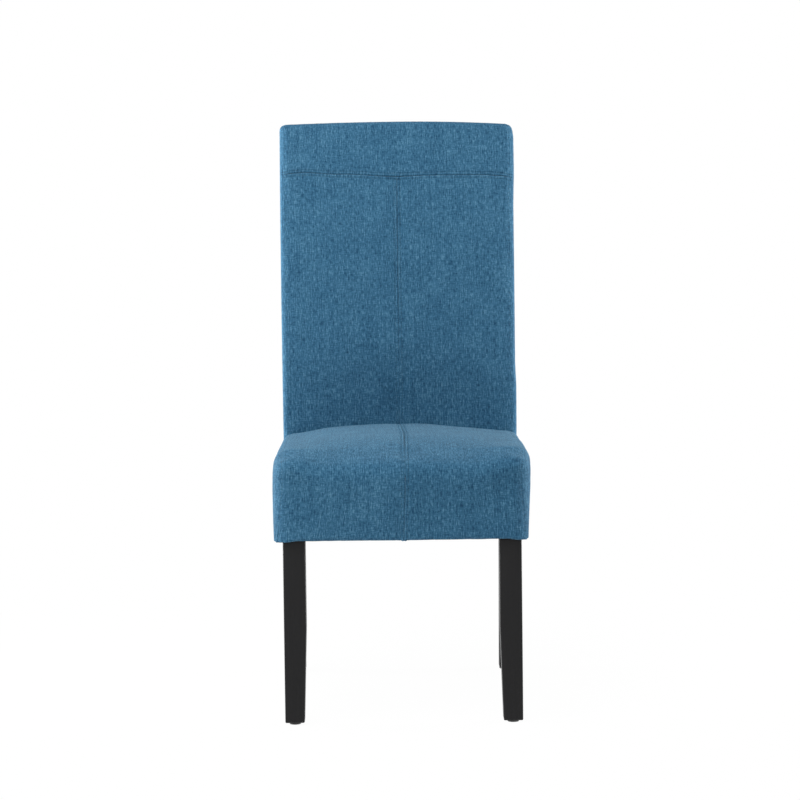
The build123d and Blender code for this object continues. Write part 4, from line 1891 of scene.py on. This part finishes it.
@dataclass(frozen=True)
class SeatCover:
    """The seat's cover: two top panels that run down the front, and two side panels."""

    form: SeatForm
    seam_angle: float = math.radians(39.0)
    low_seam_angle: float = math.radians(58.0)
    seam: SeamProfile = SeamProfile(crease_depth=0.0009, row_depth=0.0009)
    edge_seam: SeamProfile = EDGE_SEAM
    plain_seam: SeamProfile = replace(
        EDGE_SEAM, crease_depth=0.0006, row_depth=0.0, pucker_height=0.0005, pucker_pitch=0.011
    )
    centre_lap: float = 0.00025
    centre_drift: tuple[Span, ...] = ((0.0, 0.0012), (0.2600, 0.0066), (0.4500, 0.0066), (0.6200, 0.0024))
    spacing: Spacing = Spacing()
    along_spacing: Spacing = Spacing(fine=0.0012, coarse=0.0035)
    front_pull: float = 0.70

    @property
    def top_length(self) -> float:
        """The length of the flat top, from the back to the roll."""
        return self.form.back.front_y(self.form.half_width) - self.form.axis_y

    @property
    def roll_end(self) -> float:
        """The length from the back to the lower end of the roll."""
        return self.top_length + self.form.roll_radius * QUARTER_TURN

    @property
    def fold(self) -> float:
        """The length from the back to where the cover starts to turn under."""
        return self.roll_end + self.form.drop - self.form.hem_round

    @property
    def length(self) -> float:
        """The length from the back to the end of the hem."""
        return self.fold + self.form.hem_round * QUARTER_TURN + self.form.hem_width

    def seam_at(self, fall: float) -> float:
        """The side seam's angle on the rounded edge."""
        return between(self.seam_angle, self.low_seam_angle, fall)

    def top_point(self, share: float, along: float) -> Vector:
        """A point of the top panels.

        Args:
            share: From -1 at the left side seam to 1 at the right one.
            along: Length from the back, over the roll and down the front.

        Returns:
            The point.
        """
        form = self.form
        fall = clamp((along - self.roll_end) / form.drop)
        x, rise = form.section(fall).across(abs(share), self.seam_at(fall))
        x = math.copysign(x, share)
        if along <= self.top_length:
            rear = form.back.front_y(x) - form.rear_gap
            y = between(rear, form.axis_y, along / self.top_length)
            near = 1.0 - min(1.0, along / form.rear_round)
            sunk = form.rear_round * (1.0 - math.sqrt(1.0 - near**2))
            return Vector((x, y, form.axis_z + rise - sunk - form.dipped(x, y - form.axis_y)))
        if along <= self.roll_end:
            angle = (along - self.top_length) / form.roll_radius
            return form.rolled(x, rise, angle)
        if along <= self.fold:
            return Vector((x, form.axis_y - rise, form.axis_z - (along - self.roll_end)))
        angle = min(QUARTER_TURN, (along - self.fold) / form.hem_round)
        under = max(0.0, along - self.fold - form.hem_round * QUARTER_TURN)
        y = form.axis_y - rise + form.hem_round * (1.0 - math.cos(angle)) + under
        return Vector((x, y, form.bottom + form.hem_round * (1.0 - math.sin(angle))))

    @property
    def half_top(self) -> float:
        """The length over the crown from the middle to the side seam."""
        return self.form.section(0.0).width_to(self.seam_angle)

    def top(self, side: Side) -> Panel:
        """A top panel.

        Args:
            side: Its side of the centre seam.

        Returns:
            The panel.
        """
        end = self.half_top
        sign = side.value

        def surface(across: float, along: float) -> Vector:
            """A point of the panel, between the drifting centre seam and the side seam."""
            start = through(self.centre_drift, along) * sign / end
            return self.form.settle(self.top_point(sign * between(start, 1.0, across / end), along))

        def relief(across: float, along: float) -> float:
            """The pull of the centre and side seams, the centre seam's slacker on the front.

            Args:
                across: Length across the panel.
                along: Length along the panel.

            Returns:
                The height off the smooth form.
            """
            slack = smooth(self.top_length, self.roll_end, along)
            centre = self.seam.height(across, along, Seam.SEAT_CENTRE, sign)
            edge = self.edge_seam.height(end - across, along, Seam.SEAT_EDGE, sign)
            return centre * between(1.0, self.front_pull, slack) + edge

        return Panel(
            f"seat_top_panel_{side.word}",
            self.spacing.lines(
                -self.centre_lap,
                end,
                (-self.centre_lap, end),
                (self.seam.row_offset, end - self.edge_seam.row_offset),
            ),
            self.along_spacing.lines(0.0, self.length, (0.0, self.fold)),
            surface,
            relief,
            Vector((0.0, -0.5, 1.0)),
            cut=(9.0 + 0.8 * sign, 2.2),
        )

    def side_point(self, forward: float, up: float) -> Vector:
        """A point of the right side panel.

        Args:
            forward: Length in front of the roll's line, round the edge to the seam.
            up: Length above the roll's line, round the edge to the seam.

        Returns:
            The point.
        """
        form = self.form
        side_fall = clamp(-up / form.drop)
        fall = side_fall if forward > 0.0 else 0.0
        section = form.section(fall)
        flat = form.section(0.0).corner_height
        reach = max(forward, up)
        if reach <= flat:
            out = max(reach, 0.0) * section.corner_height / flat
            x = form.half_width
        else:
            turn = (reach - flat) / self.side_band * (QUARTER_TURN - self.seam_at(fall))
            x, out = section.corner(QUARTER_TURN - turn)
            x += form.side_draw_in * fall
        x -= form.side_draw_in * side_fall
        if forward > 0.0 and up > 0.0:
            share = forward / up if up >= forward else 2.0 - up / forward
            return form.rolled(x, out, QUARTER_TURN / 2.0 * share)
        ahead = out if forward > 0.0 else forward
        above = out if up > 0.0 else up
        return Vector((x, form.axis_y - ahead, form.axis_z + above))

    @property
    def side_band(self) -> float:
        """The length of a side panel round the seat's rounded edge."""
        return self.form.edge_radius * (QUARTER_TURN - self.seam_angle)

    def side(self, side: Side) -> Panel:
        """A side panel, with its hem and its tuck at the back.

        Args:
            side: Its side of the chair.

        Returns:
            The panel.
        """
        form = self.form
        end = form.section(0.0).corner_height + self.side_band
        sign = side.value
        hem = form.hem_round
        low = -form.drop - form.hem_width

        def surface(forward: float, up: float) -> Vector:
            """A point of the panel, turned under at the hem and tucked in at the back.

            Args:
                forward: Length in front of the roll's line.
                up: Length above the roll's line.

            Returns:
                The point.
            """
            point = self.side_point(forward, max(up, -form.drop))
            fold = hem * (1.0 - math.cos(QUARTER_TURN * smooth(-form.drop + hem, -form.drop, up)))
            under = max(0.0, -form.drop - up)
            behind = smooth(form.rear_round - self.top_length, -self.top_length, forward)
            point.x = min(point.x, between(point.x, form.rear_half_width, behind**2)) - fold - under
            return form.settle(Vector((sign * point.x, point.y, point.z)))

        def relief(forward: float, up: float) -> float:
            """The pull of the seam round the panel's edge."""
            return self.plain_seam.height(end - max(forward, up), forward - up, Seam.SEAT_SIDE, sign)

        return Panel(
            f"seat_side_panel_{side.word}",
            self.along_spacing.lines(-self.top_length - form.rear_tuck, end, (-self.top_length, end)),
            self.along_spacing.lines(low, end, (-form.drop, end)),
            surface,
            relief,
            Vector((sign, 0.0, 0.0)),
            cut=(12.0 + 0.8 * sign, 5.0),
        )

    def make(self) -> None:
        """Build, stuff, sew and dress the seat's cover."""
        tops = {side: self.top(side) for side in Side}
        sides = {side: self.side(side) for side in Side}
        stuff_and_sew(tuple(tops.values()), tuple(sides.values()))
        stitch = StitchRow()
        sewn = sum(along < self.fold for along in tops[Side.LEFT].along)
        centre_rows = [panel.line_along(self.seam.row_offset)[:sewn] for panel in tops.values()]
        sewn_piece("seat_centre_stitching", centre_rows, stitch)
        row = self.half_top - self.edge_seam.row_offset
        for side, panel in tops.items():
            sewn_piece(f"seat_edge_stitching_{side.word}", [panel.line_along(row)[:sewn]], stitch)
        for side in Side:
            word = side.word
            extra = ("seat_foam", "seat_wadding") if side is Side.LEFT else ()
            # The right seat top panel takes the copy with painted shade, darker than the left.
            cover = COVER if side is Side.LEFT else COVER_PAINTED_SHADE
            tops[side].finish(f"seat_top_panel_{word}", *extra, cover=cover)
            sides[side].finish(f"seat_side_panel_{word}")


@dataclass(frozen=True)
class Woodwork:
    """The legs: two front legs and two rear posts."""

    edge_round: float = 0.0022
    edge_steps: int = 3
    sharp_angle: float = math.radians(25.0)
    shade_angle: float = math.radians(40.0)
    taper_start: float = 0.165
    taper: float = 0.005
    tenon: float = 0.070
    post_depth: float = 0.038
    post_inset: float = 0.0051
    curve_steps: int = 14
    foot_depth: float = 0.031
    foot_rear: float = 0.273
    rear_taper: float = 0.0034
    knee_taper: float = 0.7

    def soften(self, bm: bmesh.types.BMesh) -> None:
        """Round every sharp edge a little.

        Args:
            bm: The leg.
        """
        sharp = [edge for edge in bm.edges if edge.calc_face_angle(0.0) > self.sharp_angle]
        bmesh.ops.bevel(
            bm,
            geom=sharp,
            offset=self.edge_round,
            affect="EDGES",
            segments=self.edge_steps,
            profile=0.5,
            material=-1,
        )

    def place(self, bm: bmesh.types.BMesh, name: str) -> None:
        """Turn a finished leg into a piece that stands for its node.

        Args:
            bm: The leg, which is freed.
            name: The node that it stands for.
        """
        bmesh.ops.recalc_face_normals(bm, faces=bm.faces)
        piece = new_piece(bm, name + "_wood")
        piece.data.set_sharp_from_angle(angle=self.shade_angle)
        mount(piece, LACQUER, "black_wood", name)
        LOG.info("leg %s: %d faces", name, len(piece.data.polygons))

    def front_leg(self, side: Side) -> None:
        """A square front leg, tapered on its two inner faces towards the foot.

        Args:
            side: Its side of the chair.
        """
        name = f"front_leg_{side.word}"
        low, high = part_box(name)
        top = high.z - self.tenon
        size = Vector((high.x - low.x, high.y - low.y, top - low.z))
        middle = Vector(((low.x + high.x) / 2, (low.y + high.y) / 2, (low.z + top) / 2))
        shape = Matrix.Translation(middle) @ Matrix.Diagonal((*size, 1.0))
        bm = bmesh.new()
        bmesh.ops.create_cube(bm, size=1.0, matrix=shape)
        bmesh.ops.bisect_plane(
            bm,
            geom=[*bm.verts, *bm.edges, *bm.faces],
            plane_co=(0.0, 0.0, self.taper_start),
            plane_no=(0.0, 0.0, 1.0),
        )
        inner_x = low.x if side is Side.RIGHT else high.x
        for vert in bm.verts:
            if vert.co.z < self.taper_start - self.edge_round:
                if abs(vert.co.x - inner_x) < self.edge_round:
                    vert.co.x += side.value * self.taper
                if abs(vert.co.y - high.y) < self.edge_round:
                    vert.co.y -= self.taper
        self.soften(bm)
        self.place(bm, name)

    def rear_post(self, side: Side, form: BackForm) -> None:
        """A rear leg and back post in one piece: splayed below the seat, curved above it.

        Args:
            side: Its side of the chair.
            form: The back, whose curve the post follows.
        """
        name = f"rear_post_{side.word}"
        low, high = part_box(name)
        knee, bend, depth = form.bottom, form.bend, self.post_depth
        radius = form.curve_radius + self.post_inset
        top_angle = math.asin((high.z - bend) / (radius + depth))
        middle_x = (low.x + high.x) / 2
        spot = Matrix.Translation((middle_x, self.foot_rear - self.foot_depth / 2, low.z))
        shape = spot @ Matrix.Diagonal((high.x - low.x, self.foot_depth, 1.0, 1.0))
        bm = bmesh.new()
        bmesh.ops.create_grid(bm, x_segments=1, y_segments=1, size=0.5, matrix=shape)
        stations = [(form.curve_y - radius, knee, 0.0)]
        for step in range(self.curve_steps + 1):
            angle = top_angle * step / self.curve_steps
            rear_y, rear_z = form.curve_y - radius * math.cos(angle), bend + radius * math.sin(angle)
            stations.append((rear_y, rear_z, angle))
        for rear_y, rear_z, angle in stations:
            grown = bmesh.ops.extrude_face_region(bm, geom=[self._top(bm)])
            verts = [item for item in grown["geom"] if isinstance(item, bmesh.types.BMVert)]
            verts.sort(key=lambda vert: vert.co.y)
            for index, vert in enumerate(verts):
                out = depth if index < 2 else 0.0
                vert.co.y = rear_y - out * math.cos(angle)
                vert.co.z = rear_z + out * math.sin(angle)
        for vert in bm.verts:
            if vert.co.z < knee + self.edge_round and (vert.co.x - middle_x) * side.value < 0.0:
                share = between(1.0, self.knee_taper, vert.co.z / knee)
                vert.co.x += side.value * self.rear_taper * share
        self.soften(bm)
        self.place(bm, name)

    @staticmethod
    def _top(bm: bmesh.types.BMesh) -> bmesh.types.BMFace:
        """The highest face of a post under construction."""
        return max(bm.faces, key=lambda face: face.calc_center_median().z)

    def make(self, form: BackForm) -> None:
        """Build and dress the legs.

        Args:
            form: The back, whose curve the posts follow.
        """
        for side in Side:
            self.front_leg(side)
            self.rear_post(side, form)


@dataclass(frozen=True)
class Underside:
    """The dust cloth stapled under the seat."""

    sag: float = 0.0045
    sag_power: int = 4
    step: float = 0.006
    leg_gap: float = 0.0006
    pucker: float = 0.0006
    pucker_waves: float = 40.0
    pucker_seed: float = 3.0

    def make(self) -> None:
        """Build the dust cloth, cut it round the legs and dress it."""
        low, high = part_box("dust_cloth")
        holes = [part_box(name) for name in (*both("front_leg"), *both("rear_post"))]
        size = high - low
        middle = (low + high) / 2
        columns, rows = round(size.x / self.step), round(size.y / self.step)
        spot = Matrix.Translation((middle.x, middle.y, high.z))
        shape = spot @ Matrix.Diagonal((size.x, size.y, 1.0, 1.0))
        bm = bmesh.new()
        bmesh.ops.create_grid(bm, x_segments=columns, y_segments=rows, size=0.5, matrix=shape)
        cut = [face for face in bm.faces if self._in_hole(face.calc_center_median(), holes)]
        bmesh.ops.delete(bm, geom=cut, context="FACES")
        area = sum(face.calc_area() for face in bm.faces)
        for vert in bm.verts:
            u, v = (vert.co.x - middle.x) / size.x * 2.0, (vert.co.y - middle.y) / size.y * 2.0
            waves = Vector((vert.co.x * self.pucker_waves, vert.co.y * self.pucker_waves, self.pucker_seed))
            sagged = self.sag * (1.0 - u**self.sag_power) * (1.0 - v**self.sag_power)
            vert.co.z -= sagged - self.pucker * noise.noise(waves)
        bm.normal_update()
        if sum(face.normal.z for face in bm.faces) > 0.0:
            bmesh.ops.reverse_faces(bm, faces=bm.faces)
        cloth = new_piece(bm, "dust_cloth_felt")
        thicken(cloth, size.z)
        mount(cloth, DUST_CLOTH, "dust_cloth", "dust_cloth")
        LOG.info("dust cloth: %.3f square metres", area)

    def _in_hole(self, place: Vector, holes: Sequence[tuple[Vector, Vector]]) -> bool:
        """Whether a place lies where a leg passes through the cloth.

        Args:
            place: A place on the cloth.
            holes: The legs' boxes.

        Returns:
            True where the cloth is cut away.
        """
        gap = self.leg_gap
        return any(
            low.x - gap < place.x < high.x + gap and low.y - gap < place.y < high.y + gap
            for low, high in holes
        )


class HiddenFrame:
    """The frame's own pieces, which keep the shapes of their solids."""

    finishes: dict[Finish, tuple[str, ...]] = {
        HARDWOOD: (
            "front_seat_rail",
            "rear_seat_rail",
            *both("side_seat_rail"),
            *both("front_corner_block"),
            *both("rear_corner_block"),
            "back_top_rail",
            "back_middle_rail",
            "back_lower_rail",
            "seat_frame_dowels",
            "back_frame_dowels",
        ),
        HARDBOARD: ("back_board",),
        STRAP: ("seat_webbing_long", "seat_webbing_cross", "back_webbing"),
        STEEL: ("leg_bolts", "leg_bolt_washers", "leg_inserts", "corner_block_screws", "dust_cloth_staples"),
        NYLON: (*both("front_glide"), *both("rear_glide")),
    }

    def make(self, nodes: dict[str, bpy.types.Object]) -> None:
        """Give each solid that stays its finish.

        Args:
            nodes: The frame's nodes by name.
        """
        for finish, names in self.finishes.items():
            for name in names:
                finish.dress(nodes[name])
            LOG.info("%s on %d nodes", finish.name, len(names))


@dataclass(frozen=True)
class SoftBox:
    """A soft square light, with its size in metres and its power in watts."""

    name: str
    place: Place
    aim: Place
    size: float
    power: float

    def hang(self) -> None:
        """Hang the light at its place and face it to its aim."""
        data = bpy.data.lights.new(self.name, "AREA")
        data.size = self.size
        data.energy = self.power
        lamp = bpy.data.objects.new(self.name, data)
        lamp.location = self.place
        lamp.rotation_mode = "QUATERNION"
        lamp.rotation_quaternion = (Vector(self.aim) - Vector(self.place)).to_track_quat("-Z", "Y")
        bpy.context.scene.collection.objects.link(lamp)


@dataclass(frozen=True)
class Studio:
    """The white floor, the soft lights and the camera."""

    eye: Place = (-0.0169, -4.7515, 0.8845)
    target: Place = (0.0, 0.0, 0.5326)
    roll: float = -0.0118
    lens: float = 119.73
    sensor: float = 36.0
    view_depth: float = 100.0
    ambient: float = 0.30
    floor_size: float = 30.0
    floor_tiles: int = 4
    lights: tuple[SoftBox, ...] = (
        SoftBox("overhead_softbox", (-1.1, -1.7, 3.7), (0.0, 0.0, 0.4), 2.6, 132.0),
        SoftBox("front_softbox", (-2.2, -3.4, 2.7), (0.0, 0.0, 0.6), 2.0, 24.0),
        SoftBox("left_softbox", (-2.4, 0.45, 0.62), (0.0, 1.8, 1.4), 1.0, 96.0),
        SoftBox("right_softbox", (2.4, 0.45, 0.62), (0.0, 1.8, 1.4), 1.0, 92.0),
    )

    def camera(self) -> None:
        """Set the camera at the photograph's viewpoint, with its slight roll."""
        data = bpy.data.cameras.new("viewpoint")
        data.lens = self.lens
        data.sensor_width = self.sensor
        data.clip_end = self.view_depth
        forward = (Vector(self.target) - Vector(self.eye)).normalized()
        right = forward.cross(Vector((0.0, 0.0, 1.0))).normalized()
        up = right.cross(forward)
        tilted = right * math.cos(self.roll) + up * math.sin(self.roll)
        upright = up * math.cos(self.roll) - right * math.sin(self.roll)
        turn = Matrix((tilted, upright, -forward)).transposed().to_4x4()
        viewpoint = bpy.data.objects.new("viewpoint", data)
        viewpoint.matrix_world = Matrix.Translation(self.eye) @ turn
        bpy.context.scene.collection.objects.link(viewpoint)
        bpy.context.scene.camera = viewpoint

    def floor(self) -> None:
        """Lay the white floor."""
        bm = bmesh.new()
        tiles = self.floor_tiles
        bmesh.ops.create_grid(bm, x_segments=tiles, y_segments=tiles, size=self.floor_size / 2)
        floor = new_piece(bm, "floor")
        PAPER.dress(floor)
        floor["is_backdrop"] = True

    def world(self) -> None:
        """Fill the studio with even light, and show it white."""
        world = bpy.data.worlds.new("studio")
        bpy.context.scene.world = world
        pad = ShaderPad(world)
        strength = pad.seen() * (1.0 - self.ambient) + self.ambient
        background = pad.node("Background", None, {"Color": WHITE, "Strength": strength})
        pad.node("OutputWorld", None, {"Surface": pad.out(background)})

    def make(self) -> None:
        """Set up the whole studio."""
        bpy.context.scene.view_settings.view_transform = "Standard"
        self.camera()
        self.floor()
        self.world()
        for light in self.lights:
            light.hang()
        LOG.info("studio with %d lights", len(self.lights))


def main() -> None:
    """Build the chair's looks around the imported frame."""
    logging.basicConfig(level=logging.INFO, format="%(name)s: %(message)s")
    for stray in list(bpy.data.objects):
        bpy.data.objects.remove(stray)
    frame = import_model()
    cad_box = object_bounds()
    side_low, side_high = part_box("back_side_panel_right")
    seat_low, seat_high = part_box("seat_top_panel_right")
    seat_side_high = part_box("seat_side_panel_right")[1]
    back = BackForm(side_high.x, side_low.z, cad_box[1].z, cad_box[1].y)
    seat = SeatForm(seat_side_high.x, seat_low.y, seat_low.z, seat_high.z, back)
    BackCover(back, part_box("back_front_panel_right")[0].z).make()
    SeatCover(seat).make()
    Woodwork().make(back)
    Underside().make()
    HiddenFrame().make(frame["nodes"])
    Studio().make()


if __name__ == "__main__":
    main()
